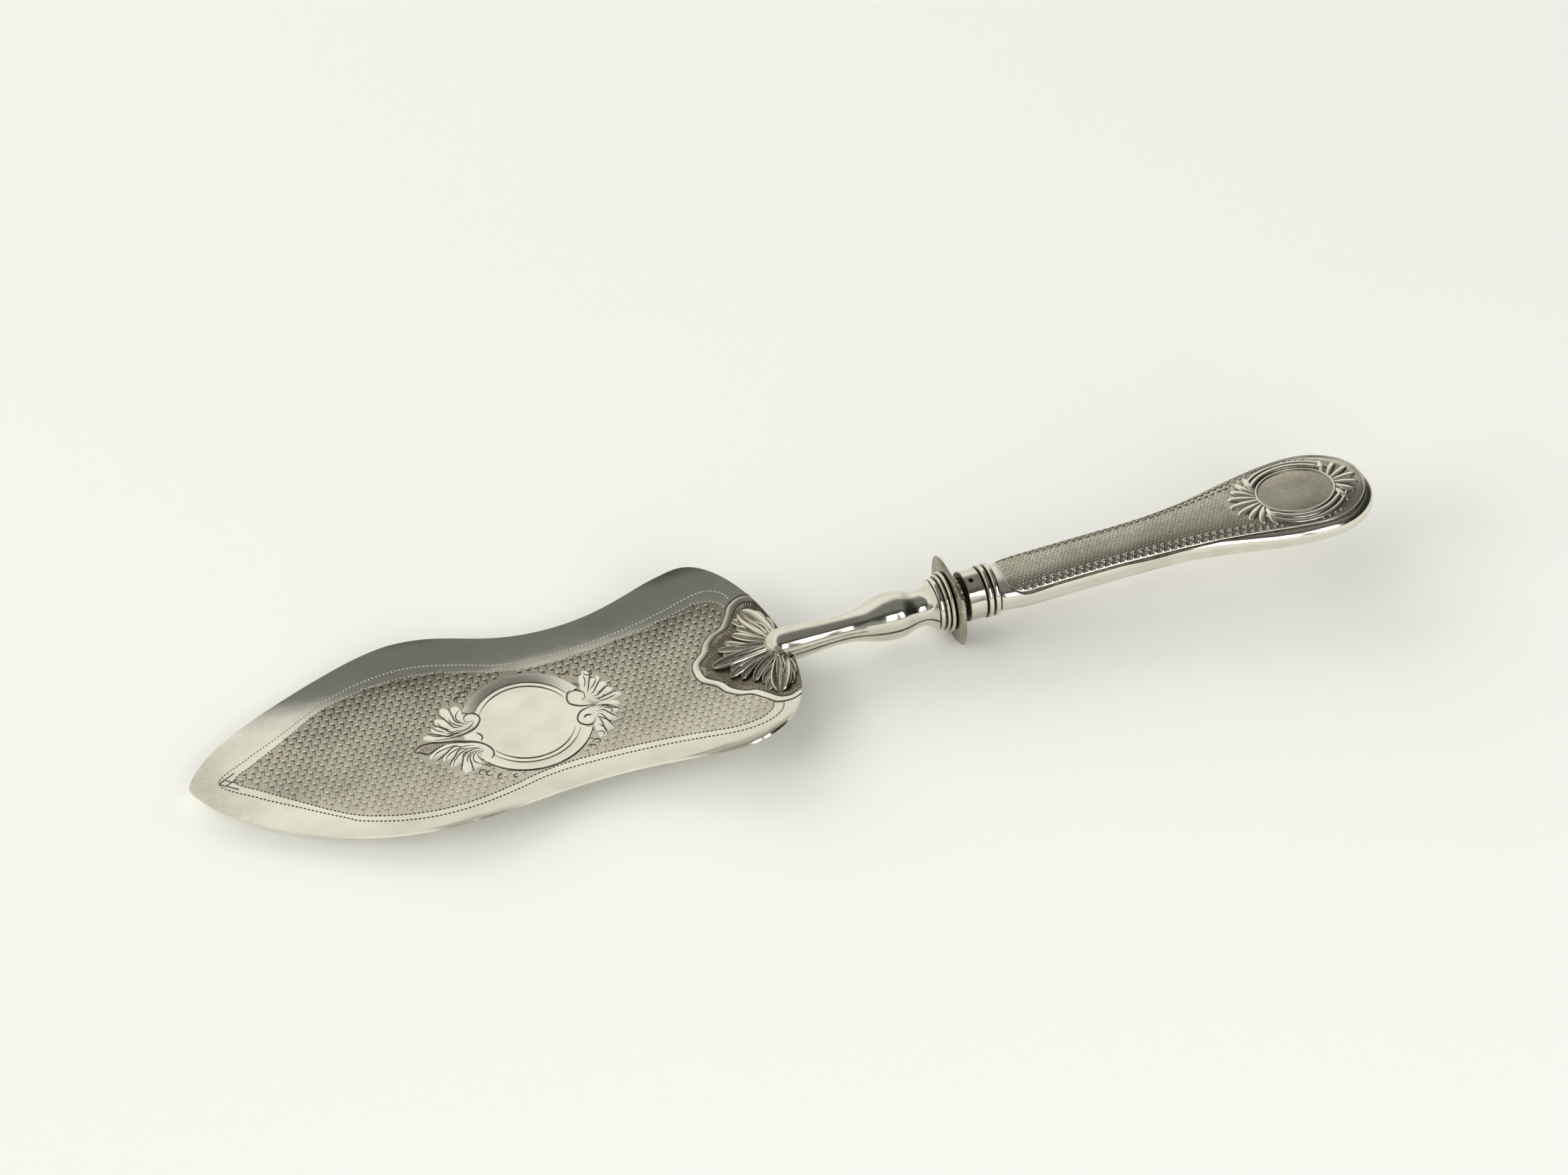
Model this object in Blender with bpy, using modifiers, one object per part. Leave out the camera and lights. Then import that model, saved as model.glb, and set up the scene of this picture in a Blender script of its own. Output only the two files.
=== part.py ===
"""Silver fish slice: dished blade, leaf mount, baluster stem, guard, ferrule and filled handle.

Metres, +Z up. X runs from the blade's tip (-X) to the handle's butt (+X). The slice lies
on the flat sole of its blade and on the lower edge of its guard, as on a table.
"""
import math

import bmesh
import bpy
from mathutils import Vector
from mathutils.geometry import interpolate_bezier

# Blade
BLADE_LENGTH = 0.1412
BLADE_THICKNESS = 0.0011
BELLY_WIDTH = 0.0632
WAIST_WIDTH = 0.0536
SHOULDER_WIDTH = 0.0632
BELLY_AT = 0.0537
WAIST_AT = 0.0897
SHOULDER_TO_HEEL = 0.0190
RIM_TURN_UP = 0.0043
TIP_RISE = 0.0028
HEEL_RISE = 0.0045
SOLE_WIDTH = 0.0160
SOLE_FRONT_AT = 0.0507
SOLE_BACK_AT = 0.0687
CORNER_LIFT = 0.0062
CORNER_LIFT_LENGTH = 0.0225

# Leaf mount over the heel
LEAF_ROOT_TO_HEEL = 0.0040
LEAF_ROOT_LAP = 0.0007
LEAF_HEIGHT = 0.0024
LEAF_BASE_RADIUS = 0.0085
LEAF_CENTRE_REACH = 0.0151
LEAF_CENTRE_WIDTH = 0.0050
LEAF_INNER_REACH = 0.0134
LEAF_INNER_WIDTH = 0.0046
LEAF_INNER_TURN = math.radians(31.0)
LEAF_MIDDLE_REACH = 0.0112
LEAF_MIDDLE_WIDTH = 0.0036
LEAF_MIDDLE_TURN = math.radians(53.0)
LEAF_OUTER_REACH = 0.0149
LEAF_OUTER_WIDTH = 0.0064
LEAF_OUTER_TURN = math.radians(79.0)

# Line of the stem and handle, which rises from the blade
AXIS_SLOPE = math.radians(2.87)
HEEL_TO_GUARD = 0.0400

# Stem, measured along its line from the guard towards the blade
STEM_LENGTH = 0.0417
DROP_RADIUS = 0.0039
WAIST_RADIUS = 0.0032
SWELL_RADIUS = 0.0054
NECK_RADIUS = 0.0041
FLARE_RADIUS = 0.0060
STEM_SPLIT_DROP = 0.0005
TONGUE_LENGTH = 0.0050

# Mouldings, guard and ferrule
FLANGE_RADIUS = 0.0074
FLANGE_LENGTH = 0.0036
GUARD_WIDTH = 0.0202
GUARD_DEPTH = 0.0165
GUARD_THICKNESS = 0.0011
GUARD_EDGE_ROUNDING = 0.0003
COLLAR_RADIUS = 0.0056
COLLAR_LENGTH = 0.0022
SLEEVE_RADIUS = 0.0061
SLEEVE_LENGTH = 0.0044
SLEEVE_WALL = 0.0014
RING_RADIUS = 0.0065
RING_LENGTH = 0.0015

# Handle
HANDLE_LENGTH = 0.0982
GRIP_AT = 0.0330
GRIP_WIDTH = 0.0142
BUTT_AT = 0.0820
BUTT_WIDTH = 0.0288
HANDLE_THICKNESS = 0.0080
BUTT_THICKNESS = 0.0076
HANDLE_NECK_WIDTH = 0.0122
HANDLE_DIP = 0.0001
HANDLE_LIFT = 0.0022
END_ROUNDING = 0.0040
SHELL_THICKNESS = 0.0008

# Tang
TANG_RADIUS = 0.0018
TANG_IN_STEM = 0.0100
TANG_IN_HANDLE = 0.0500

# Clearances
FIT_GAP = 0.0003
SOLDER_GAP = 0.0002
SEAM_GAP = 0.0002
WELD = 0.0000001

# Fineness
OUTLINE_STEPS = 9
BLADE_COLUMNS = 18
LATHE_STEPS = 32
SHELL_COLUMNS = 14
CURVE_STEPS = 7
BEAD_STEPS = 6

# Exponents of the curves that shape blade and handle
TIP_CURL = 1.6
HEEL_CURL = 1.6
BROAD_DISH_SHARE = 0.27
RIM_POWER = 5
CORNER_CURL = 1.5
TIP_RIM_SHARE = 0.5
SHOULDER_RIM_SHARE = 1.15
GUARD_SQUARENESS = 5.0
HANDLE_SQUARENESS = 2.7

# Places along the blade, from its tip
SHOULDER_AT = BLADE_LENGTH - SHOULDER_TO_HEEL
CORNER_LIFT_AT = BLADE_LENGTH - CORNER_LIFT_LENGTH
LEAF_ROOT_AT = BLADE_LENGTH - LEAF_ROOT_TO_HEEL
GUARD_AT = BLADE_LENGTH + HEEL_TO_GUARD

# Places along the axis line, from the guard's middle
GUARD_FRONT = -GUARD_THICKNESS / 2
GUARD_BACK = GUARD_THICKNESS / 2
FLANGE_BACK = GUARD_FRONT - SOLDER_GAP
FLANGE_FRONT = FLANGE_BACK - FLANGE_LENGTH
STEM_BACK = FLANGE_FRONT - SOLDER_GAP
STEM_FRONT = STEM_BACK - STEM_LENGTH
COLLAR_FRONT = GUARD_BACK + SOLDER_GAP
COLLAR_BACK = COLLAR_FRONT + COLLAR_LENGTH
SLEEVE_FRONT = COLLAR_BACK + SOLDER_GAP
SLEEVE_BACK = SLEEVE_FRONT + SLEEVE_LENGTH
RING_ONE_FRONT = SLEEVE_BACK + SOLDER_GAP
RING_TWO_FRONT = RING_ONE_FRONT + RING_LENGTH + SOLDER_GAP
HANDLE_FRONT = RING_TWO_FRONT + RING_LENGTH + SOLDER_GAP
HANDLE_BACK = HANDLE_FRONT + HANDLE_LENGTH
BORE_RADIUS = TANG_RADIUS + FIT_GAP
SLEEVE_BORE = SLEEVE_RADIUS - SLEEVE_WALL

# Place of the guard's middle: its lower edge touches the table, and the part is centred on X
TOTAL_LENGTH = GUARD_AT + HANDLE_BACK * math.cos(AXIS_SLOPE)
TIP_X = -TOTAL_LENGTH / 2
GUARD_HEIGHT = GUARD_DEPTH / 2 * math.cos(AXIS_SLOPE) + GUARD_THICKNESS / 2 * math.sin(AXIS_SLOPE)
AXIS_ORIGIN = Vector((TIP_X + GUARD_AT, 0.0, GUARD_HEIGHT))

for leftover in list(bpy.data.objects):
    bpy.data.objects.remove(leftover, do_unlink=True)


def new_collection(name):
    group = bpy.data.collections.new(name)
    bpy.context.scene.collection.children.link(group)
    return group


PARTS = new_collection("fish_slice")
CUTTERS = new_collection("cutters")


def metal(name, colour, roughness, metallic=1.0):
    """A Principled material for one sub-part."""
    material = bpy.data.materials.new(name)
    material.use_nodes = True
    shader = material.node_tree.nodes["Principled BSDF"]
    shader.inputs["Base Color"].default_value = (*colour, 1.0)
    shader.inputs["Roughness"].default_value = roughness
    shader.inputs["Metallic"].default_value = metallic
    return material


SILVER = (0.83, 0.81, 0.77)
CAST_SILVER = (0.70, 0.68, 0.63)
STEEL = (0.45, 0.45, 0.46)
PITCH = (0.10, 0.07, 0.05)


def mesh_object(name, vertices, faces, group=PARTS):
    """An object from points and faces, with equal points welded and the faces turned outward."""
    mesh = bpy.data.meshes.new(name)
    mesh.from_pydata([tuple(v) for v in vertices], [], faces)
    shell = bmesh.new()
    shell.from_mesh(mesh)
    bmesh.ops.remove_doubles(shell, verts=shell.verts, dist=WELD)
    bmesh.ops.recalc_face_normals(shell, faces=shell.faces)
    for face in shell.faces:
        face.smooth = True
    shell.to_mesh(mesh)
    shell.free()
    part = bpy.data.objects.new(name, mesh)
    group.objects.link(part)
    return part


def as_cutter(part):
    part.hide_render = True
    part.display_type = "WIRE"
    return part


def cut(part, tool, operation="DIFFERENCE"):
    step = part.modifiers.new(operation.lower(), "BOOLEAN")
    step.operation = operation
    step.solver = "EXACT"
    step.object = tool


def solidify(part, thickness):
    """Thicken a surface against its normals."""
    step = part.modifiers.new("thickness", "SOLIDIFY")
    step.thickness = thickness
    step.offset = -1.0
    step.use_even_offset = True


def curve_points(knots, steps):
    """Points along cubic pieces, each given as (start, handle, handle, end)."""
    points = [Vector(knots[0][0]).to_3d()]
    for piece in knots:
        corners = [Vector(corner).to_3d() for corner in piece]
        points += interpolate_bezier(*corners, steps + 1)[1:]
    return [(point.x, point.y) for point in points]


def ease(start, end, out_share=0.45, in_share=0.45):
    """A cubic piece that leaves start and reaches end level with the axis."""
    gap = end[0] - start[0]
    return start, (start[0] + out_share * gap, start[1]), (end[0] - in_share * gap, end[1]), end


# Blade


def blade_edge():
    """Distance from the tip and half width, from tip to heel."""
    belly = (BELLY_AT, BELLY_WIDTH / 2)
    waist = (WAIST_AT, WAIST_WIDTH / 2)
    shoulder = (SHOULDER_AT, SHOULDER_WIDTH / 2)
    heel = (BLADE_LENGTH, 0.0)
    heel_gap = BLADE_LENGTH - SHOULDER_AT
    point_piece = ((0.0, 0.0), (0.075 * BELLY_AT, 0.44 * belly[1]), (0.63 * BELLY_AT, belly[1]), belly)
    heel_piece = (shoulder, (SHOULDER_AT + 0.53 * heel_gap, shoulder[1]),
                  (BLADE_LENGTH - 0.016 * heel_gap, 0.60 * shoulder[1]), heel)
    pieces = [point_piece, ease(belly, waist, 0.39, 0.44), ease(waist, shoulder, 0.46, 0.28), heel_piece]
    return curve_points(pieces, OUTLINE_STEPS)


def blade_top(along, across):
    """Height of the blade's upper face above the table."""
    front = max(0.0, 1.0 - along / SOLE_FRONT_AT)
    back = max(0.0, (along - SOLE_BACK_AT) / (BLADE_LENGTH - SOLE_BACK_AT))
    half_sole = SOLE_WIDTH / 2
    aside = max(0.0, (abs(across) - half_sole) / (BELLY_WIDTH / 2 - half_sole))
    dish = BROAD_DISH_SHARE * aside ** 2 + (1.0 - BROAD_DISH_SHARE) * aside ** RIM_POWER
    rim = min(TIP_RIM_SHARE + (1.0 - TIP_RIM_SHARE) * along / BELLY_AT, SHOULDER_RIM_SHARE)
    corner = max(0.0, (along - CORNER_LIFT_AT) / (BLADE_LENGTH - CORNER_LIFT_AT)) ** CORNER_CURL
    lift = CORNER_LIFT * corner * (2.0 * across / SHOULDER_WIDTH) ** 2
    spine = TIP_RISE * front ** TIP_CURL + HEEL_RISE * back ** HEEL_CURL
    return BLADE_THICKNESS + spine + rim * RIM_TURN_UP * dish + lift


def blade_surface(name, group, lift=0.0):
    """The blade's upper face as rows across, closed to a point at tip and heel."""
    edge = blade_edge()
    tip, heel = edge[0][0], edge[-1][0]
    vertices = [Vector((tip, 0.0, blade_top(tip, 0.0) + lift))]
    for along, half in edge[1:-1]:
        for column in range(BLADE_COLUMNS + 1):
            across = half * (2.0 * column / BLADE_COLUMNS - 1.0)
            vertices.append(Vector((along, across, blade_top(along, across) + lift)))
    vertices.append(Vector((heel, 0.0, blade_top(heel, 0.0) + lift)))
    rows = len(edge) - 2
    stride = BLADE_COLUMNS + 1
    last = len(vertices) - 1
    faces = []
    for column in range(BLADE_COLUMNS):
        faces.append((0, column + 2, column + 1))
        faces.append((last, last - stride + column, last - stride + column + 1))
        for row in range(rows - 1):
            corner = 1 + row * stride + column
            faces.append((corner, corner + 1, corner + stride + 1, corner + stride))
    surface = mesh_object(name, vertices, faces, group)
    surface.location.x = TIP_X
    if surface.data.polygons[len(faces) // 2].normal.z < 0.0:
        surface.data.flip_normals()
    return surface


def make_blade():
    blade = blade_surface("blade", PARTS)
    solidify(blade, BLADE_THICKNESS)
    blade.data.materials.append(metal("blade", SILVER, 0.16))
    return blade


# Turned pieces on the axis line


def on_axis(part, along=0.0):
    """Put a piece whose own Z is its axis onto the line of stem and handle."""
    direction = Vector((math.cos(AXIS_SLOPE), 0.0, math.sin(AXIS_SLOPE)))
    part.location = AXIS_ORIGIN + direction * along
    part.rotation_euler = (0.0, math.pi / 2 - AXIS_SLOPE, 0.0)
    return part


def lathe(name, profile, group=PARTS, closed=False):
    """Turn (radius, height) points, given from the top down the outer side, about Z."""
    mesh = bpy.data.meshes.new(name)
    count = len(profile)
    edges = [(i, i + 1) for i in range(count - 1)]
    if closed:
        edges.append((count - 1, 0))
    mesh.from_pydata([(radius, 0.0, height) for radius, height in profile], edges, [])
    part = bpy.data.objects.new(name, mesh)
    group.objects.link(part)
    turn = part.modifiers.new("turn", "SCREW")
    turn.axis = "Z"
    turn.angle = math.tau
    turn.steps = LATHE_STEPS
    turn.render_steps = LATHE_STEPS
    turn.use_merge_vertices = True
    turn.merge_threshold = 0.00001
    turn.use_smooth_shade = True
    return on_axis(part)


def ring(name, outer, bore):
    """A turned ring: its outer profile from the top down, and a plain bore."""
    profile = list(outer) + [(bore, outer[-1][1]), (bore, outer[0][1])]
    return lathe(name, profile, closed=True)


def bead(front, back, foot, crown):
    """A half-round bulge from back (top) to front, foot radius at its ends."""
    points = []
    for step in range(BEAD_STEPS + 1):
        share = step / BEAD_STEPS
        swell = math.sin(math.pi * share) ** 0.5 if 0 < step < BEAD_STEPS else 0.0
        points.append((foot + (crown - foot) * swell, back + (front - back) * share))
    return points


def axis_box(name, front, back, low, high, half_width):
    """A cutter box in the axis line's own directions."""
    vertices = []
    for along in (front, back):
        for across in (-half_width, half_width):
            for height in (low, high):
                vertices.append(Vector((-height, across, along)))
    faces = [(0, 1, 3, 2), (4, 6, 7, 5), (0, 4, 5, 1), (2, 3, 7, 6), (0, 2, 6, 4), (1, 5, 7, 3)]
    return as_cutter(on_axis(mesh_object(name, vertices, faces, CUTTERS)))


def rod(name, front, back, radius, group):
    """A plain turned bar from front to back."""
    part = lathe(name, [(0.0, back), (radius, back), (radius, front), (0.0, front)], group)
    return as_cutter(part) if group is CUTTERS else part


# Stem


def stem_profile(extra=0.0):
    """Radius and place along the axis, from the flare at the back to the drop's nose."""
    swell_at = STEM_BACK - 0.235 * STEM_LENGTH
    neck_at = STEM_BACK - 0.070 * STEM_LENGTH
    slim_at = STEM_BACK - 0.560 * STEM_LENGTH
    drop_at = STEM_FRONT + DROP_RADIUS
    flare = ((STEM_BACK, FLARE_RADIUS), (STEM_BACK - 0.03 * STEM_LENGTH, NECK_RADIUS),
             (neck_at, NECK_RADIUS), (neck_at, NECK_RADIUS))
    pieces = [flare, ease((neck_at, NECK_RADIUS), (swell_at, SWELL_RADIUS)),
              ease((swell_at, SWELL_RADIUS), (slim_at, WAIST_RADIUS)),
              ease((slim_at, WAIST_RADIUS), (drop_at, DROP_RADIUS))]
    points = [(radius + extra, along) for along, radius in curve_points(pieces, CURVE_STEPS)]
    for step in range(1, CURVE_STEPS + 1):
        turn = math.pi / 2 * step / CURVE_STEPS
        reach = DROP_RADIUS + extra
        radius = reach * math.cos(turn) if step < CURVE_STEPS else 0.0
        points.append((radius, drop_at - reach * math.sin(turn)))
    return [(0.0, STEM_BACK)] + points


def make_stem():
    reach = 2.0 * SWELL_RADIUS
    tongue_front = TIP_X + BLADE_LENGTH - TONGUE_LENGTH - AXIS_ORIGIN.x
    heel_back = TIP_X + BLADE_LENGTH + FIT_GAP - AXIS_ORIGIN.x
    tang_bore = rod("cut_stem_bore", STEM_BACK - TANG_IN_STEM - FIT_GAP, STEM_BACK + FIT_GAP,
                    BORE_RADIUS, CUTTERS)
    above = axis_box("cut_above", STEM_FRONT - reach, STEM_BACK + reach, SEAM_GAP / 2 - STEM_SPLIT_DROP,
                     reach, reach)
    below = axis_box("cut_below", tongue_front, STEM_BACK + reach, -reach,
                     -SEAM_GAP / 2 - STEM_SPLIT_DROP, reach)
    upper = lathe("stem_upper", stem_profile())
    cut(upper, above, "INTERSECT")
    cut(upper, tang_bore)
    upper.data.materials.append(metal("stem_upper", SILVER, 0.12))
    lower = lathe("stem_lower", stem_profile())
    cut(lower, below, "INTERSECT")
    cut(lower, heel_slot(heel_back))
    cut(lower, tang_bore)
    lower.data.materials.append(metal("stem_lower", SILVER, 0.12))


def heel_slot(back):
    """Room for the heel of the blade above the stem's tongue."""
    heel_x = AXIS_ORIGIN.x + back
    under = blade_top(BLADE_LENGTH - TONGUE_LENGTH, 0.0) - BLADE_THICKNESS - FIT_GAP
    front_x = TIP_X + BLADE_LENGTH - 2.0 * TONGUE_LENGTH
    half = SWELL_RADIUS
    top = GUARD_HEIGHT + half
    vertices = []
    for x in (front_x, heel_x):
        for y in (-half, half):
            for z in (under, top):
                vertices.append(Vector((x, y, z)))
    faces = [(0, 1, 3, 2), (4, 6, 7, 5), (0, 4, 5, 1), (2, 3, 7, 6), (0, 2, 6, 4), (1, 5, 7, 3)]
    return as_cutter(mesh_object("cut_heel_slot", vertices, faces, CUTTERS))


# Leaf mount


def lobe(name, reach, width, height, turn, lap, group):
    """One leaflet: a long low ellipsoid from a little behind the root outwards."""
    outward = Vector((-math.cos(turn), math.sin(turn)))
    root = Vector((LEAF_ROOT_AT, 0.0)) - outward * lap
    length = reach + lap
    end = root + outward * length
    middle = (root + end) / 2
    rise = blade_top(*root) - blade_top(*end)
    bpy.ops.mesh.primitive_uv_sphere_add(segments=14, ring_count=8, radius=1.0)
    leaflet = bpy.context.object
    leaflet.name = name
    leaflet.scale = (length / 2, width / 2, height)
    leaflet.rotation_euler = (0.0, -math.atan2(rise, length), -turn)
    leaflet.location = (TIP_X + middle.x, middle.y, blade_top(*middle))
    for owner in list(leaflet.users_collection):
        owner.objects.unlink(leaflet)
    group.objects.link(leaflet)
    for face in leaflet.data.polygons:
        face.use_smooth = True
    return leaflet


def leaf_bed():
    """All the room under the blade's upper face, which the leaf's underside follows with a gap."""
    bed = blade_surface("cut_leaf_bed", CUTTERS, SOLDER_GAP)
    body = bmesh.new()
    body.from_mesh(bed.data)
    below = bmesh.ops.extrude_face_region(body, geom=body.faces[:], use_keep_orig=True)["geom"]
    for corner in below:
        if isinstance(corner, bmesh.types.BMVert):
            corner.co.z = -LEAF_HEIGHT
    bmesh.ops.recalc_face_normals(body, faces=body.faces)
    body.to_mesh(bed.data)
    body.free()
    return as_cutter(bed)


def make_leaf_mount():
    mount = lobe("leaf_mount", LEAF_CENTRE_REACH, LEAF_CENTRE_WIDTH, LEAF_HEIGHT, 0.0, LEAF_ROOT_LAP, PARTS)
    pairs = [("inner", LEAF_INNER_REACH, LEAF_INNER_WIDTH, LEAF_INNER_TURN),
             ("middle", LEAF_MIDDLE_REACH, LEAF_MIDDLE_WIDTH, LEAF_MIDDLE_TURN),
             ("outer", LEAF_OUTER_REACH, LEAF_OUTER_WIDTH, LEAF_OUTER_TURN)]
    for order, (label, reach, width, turn) in enumerate(pairs):
        lap = (order + 2) * LEAF_ROOT_LAP
        for side, sign in (("far", 1), ("near", -1)):
            name = "cut_leaf_" + label + "_" + side
            leaflet = lobe(name, reach, width, LEAF_HEIGHT, sign * turn, lap, CUTTERS)
            cut(mount, as_cutter(leaflet), "UNION")
    base = lobe("cut_leaf_base", LEAF_BASE_RADIUS, 2.0 * LEAF_BASE_RADIUS, LEAF_HEIGHT / 2, 0.0, 0.0, CUTTERS)
    cut(mount, as_cutter(base), "UNION")
    cut(mount, leaf_bed())
    cut(mount, as_cutter(lathe("cut_leaf_stem", stem_profile(FIT_GAP), CUTTERS)))
    mount.data.materials.append(metal("leaf_mount", CAST_SILVER, 0.22))


# Guard and ferrule


def guard_plate():
    """A flat cushion-shaped plate across the axis, with one side of its outline level at the bottom."""
    outline = []
    power = 2.0 / GUARD_SQUARENESS
    for step in range(LATHE_STEPS):
        turn = math.tau * (step + 0.5) / LATHE_STEPS
        side, rise = math.cos(turn), math.sin(turn)
        across = math.copysign(abs(side) ** power, side) * GUARD_WIDTH / 2
        height = math.copysign(abs(rise) ** power, rise) * GUARD_DEPTH / 2
        outline.append((-height, across))
    lowest = max(point[0] for point in outline)
    stretch = GUARD_DEPTH / 2 / lowest
    vertices = [(x * stretch, y, along) for along in (GUARD_FRONT, GUARD_BACK) for x, y in outline]
    count = len(outline)
    faces = [tuple(range(count)), tuple(range(count, 2 * count))]
    for step in range(count):
        after = (step + 1) % count
        faces.append((step, after, after + count, step + count))
    plate = on_axis(mesh_object("guard_plate", vertices, faces))
    rounding = plate.modifiers.new("edge_rounding", "BEVEL")
    rounding.width = GUARD_EDGE_ROUNDING
    rounding.segments = 2
    rounding.limit_method = "ANGLE"
    rounding.angle_limit = math.radians(60.0)
    return plate


def make_guard():
    flange = ring("stem_flange", [(FLARE_RADIUS, FLANGE_BACK)]
                  + bead(FLANGE_FRONT + FLANGE_LENGTH / 4, FLANGE_BACK, FLARE_RADIUS, FLANGE_RADIUS)[1:]
                  + [(FLARE_RADIUS, FLANGE_FRONT)], BORE_RADIUS)
    flange.data.materials.append(metal("stem_flange", SILVER, 0.14))
    plate = guard_plate()
    cut(plate, rod("cut_guard_bore", GUARD_FRONT - FIT_GAP, GUARD_BACK + FIT_GAP, BORE_RADIUS, CUTTERS))
    plate.data.materials.append(metal("guard_plate", SILVER, 0.14))
    collar = ring("rear_collar", bead(COLLAR_FRONT, COLLAR_BACK, SLEEVE_BORE, COLLAR_RADIUS), BORE_RADIUS)
    collar.data.materials.append(metal("rear_collar", CAST_SILVER, 0.20))


def make_ferrule():
    wall = [(SLEEVE_RADIUS, SLEEVE_BACK), (SLEEVE_RADIUS, SLEEVE_FRONT)]
    sleeve = ring("ferrule_sleeve", wall, SLEEVE_BORE)
    sleeve.data.materials.append(metal("ferrule_sleeve", SILVER, 0.10))
    for label, front in (("front", RING_ONE_FRONT), ("rear", RING_TWO_FRONT)):
        name = "ferrule_ring_" + label
        band = ring(name, bead(front, front + RING_LENGTH, SLEEVE_RADIUS, RING_RADIUS), SLEEVE_BORE)
        band.data.materials.append(metal(name, SILVER, 0.14))


# Handle


def handle_edge(inset):
    """Place along the axis and half width of the handle, less an inset, from neck to butt."""
    neck = (0.0, HANDLE_NECK_WIDTH / 2 - inset)
    grip = (GRIP_AT, GRIP_WIDTH / 2 - inset)
    butt = (BUTT_AT, BUTT_WIDTH / 2 - inset)
    end = (HANDLE_LENGTH - inset, 0.0)
    end_gap = end[0] - BUTT_AT
    end_piece = (butt, (BUTT_AT + 0.55 * end_gap, butt[1]), (end[0], 0.62 * butt[1]), end)
    neck_piece = (neck, (0.06 * GRIP_AT, 0.9 * grip[1] + 0.1 * neck[1]), (0.3 * GRIP_AT, grip[1]), grip)
    return curve_points([neck_piece, ease(grip, butt, 0.50, 0.36), end_piece], OUTLINE_STEPS)


def handle_section(along, half_width, inset, turns):
    """Points round the handle at one place, at the given turns from the near edge."""
    share = along / HANDLE_LENGTH
    thickness = HANDLE_THICKNESS + (BUTT_THICKNESS - HANDLE_THICKNESS) * share
    past = max(0.0, (along - (HANDLE_LENGTH - END_ROUNDING)) / (END_ROUNDING - inset))
    half_height = (thickness / 2 - inset) * math.sqrt(max(0.0, 1.0 - past * past))
    middle = (HANDLE_LIFT + HANDLE_DIP) * share - HANDLE_DIP
    power = 2.0 / HANDLE_SQUARENESS
    points = []
    for turn in turns:
        side, rise = math.cos(turn), math.sin(turn)
        across = math.copysign(abs(side) ** power, side) * half_width
        height = math.copysign(abs(rise) ** power, rise) * half_height
        points.append(Vector((-(middle + height), across, HANDLE_FRONT + along)))
    return points


def loft(name, sections, cap):
    """A body through rings of points; cap closes the first ring, and the last is one of equal points."""
    vertices = [point for section in sections for point in section]
    stride = len(sections[0])
    faces = list(cap)
    for row in range(len(sections) - 1):
        for span in range(stride):
            one = row * stride + span
            two = row * stride + (span + 1) % stride
            faces.append((one, two, two + stride, one + stride))
    return on_axis(mesh_object(name, vertices, faces))


def make_shell(name, sign):
    """Upper (+1) or lower (-1) half of the handle, open at the neck and along the seam."""
    turns = [sign * math.pi * step / SHELL_COLUMNS for step in range(SHELL_COLUMNS + 1)]
    shift = Vector((-sign * SEAM_GAP / 2, 0.0, 0.0))
    sections = []
    for outer, inner in zip(handle_edge(0.0), handle_edge(SHELL_THICKNESS)):
        crescent = handle_section(*outer, 0.0, turns)
        crescent += reversed(handle_section(*inner, SHELL_THICKNESS, turns))
        sections.append([point + shift for point in crescent])
    last = 2 * SHELL_COLUMNS + 1
    cap = [(step, step + 1, last - step - 1, last - step) for step in range(SHELL_COLUMNS)]
    shell = loft(name, sections, cap)
    shell.data.materials.append(metal(name, SILVER, 0.14))


def make_filler():
    """Cement that fills the sleeve and the handle, bored for the tang."""
    inset = SHELL_THICKNESS + FIT_GAP
    count = 2 * SHELL_COLUMNS
    turns = [math.tau * step / count for step in range(count)]
    plug = SLEEVE_BORE - FIT_GAP
    sections = []
    for along in (SLEEVE_FRONT, RING_TWO_FRONT):
        sections.append([Vector((-plug * math.sin(t), plug * math.cos(t), along)) for t in turns])
    edge = handle_edge(inset)
    sections.append(handle_section(0.0, min(plug, edge[0][1]), inset, turns))
    for along, half in edge[1:]:
        sections.append(handle_section(along, half, inset, turns))
    filler = loft("handle_filler", sections, [tuple(range(count))])
    bore = rod("cut_filler_bore", SLEEVE_FRONT - FIT_GAP, HANDLE_FRONT + TANG_IN_HANDLE + FIT_GAP,
               BORE_RADIUS, CUTTERS)
    cut(filler, bore)
    filler.data.materials.append(metal("handle_filler", PITCH, 0.85, 0.0))


def make_tang():
    tang = rod("tang", STEM_BACK - TANG_IN_STEM, HANDLE_FRONT + TANG_IN_HANDLE, TANG_RADIUS, PARTS)
    tang.data.materials.append(metal("tang", STEEL, 0.45))


make_blade()
make_leaf_mount()
make_stem()
make_guard()
make_ferrule()
make_shell("handle_upper_shell", 1)
make_shell("handle_lower_shell", -1)
make_filler()
make_tang()
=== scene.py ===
"""Looks of a silver fish slice: engraved blade, cast palmette, turned stem, cushion guard and struck handle."""
import math

import bpy
import numpy as np
from mathutils import Matrix, Vector
from mathutils.kdtree import KDTree


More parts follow.
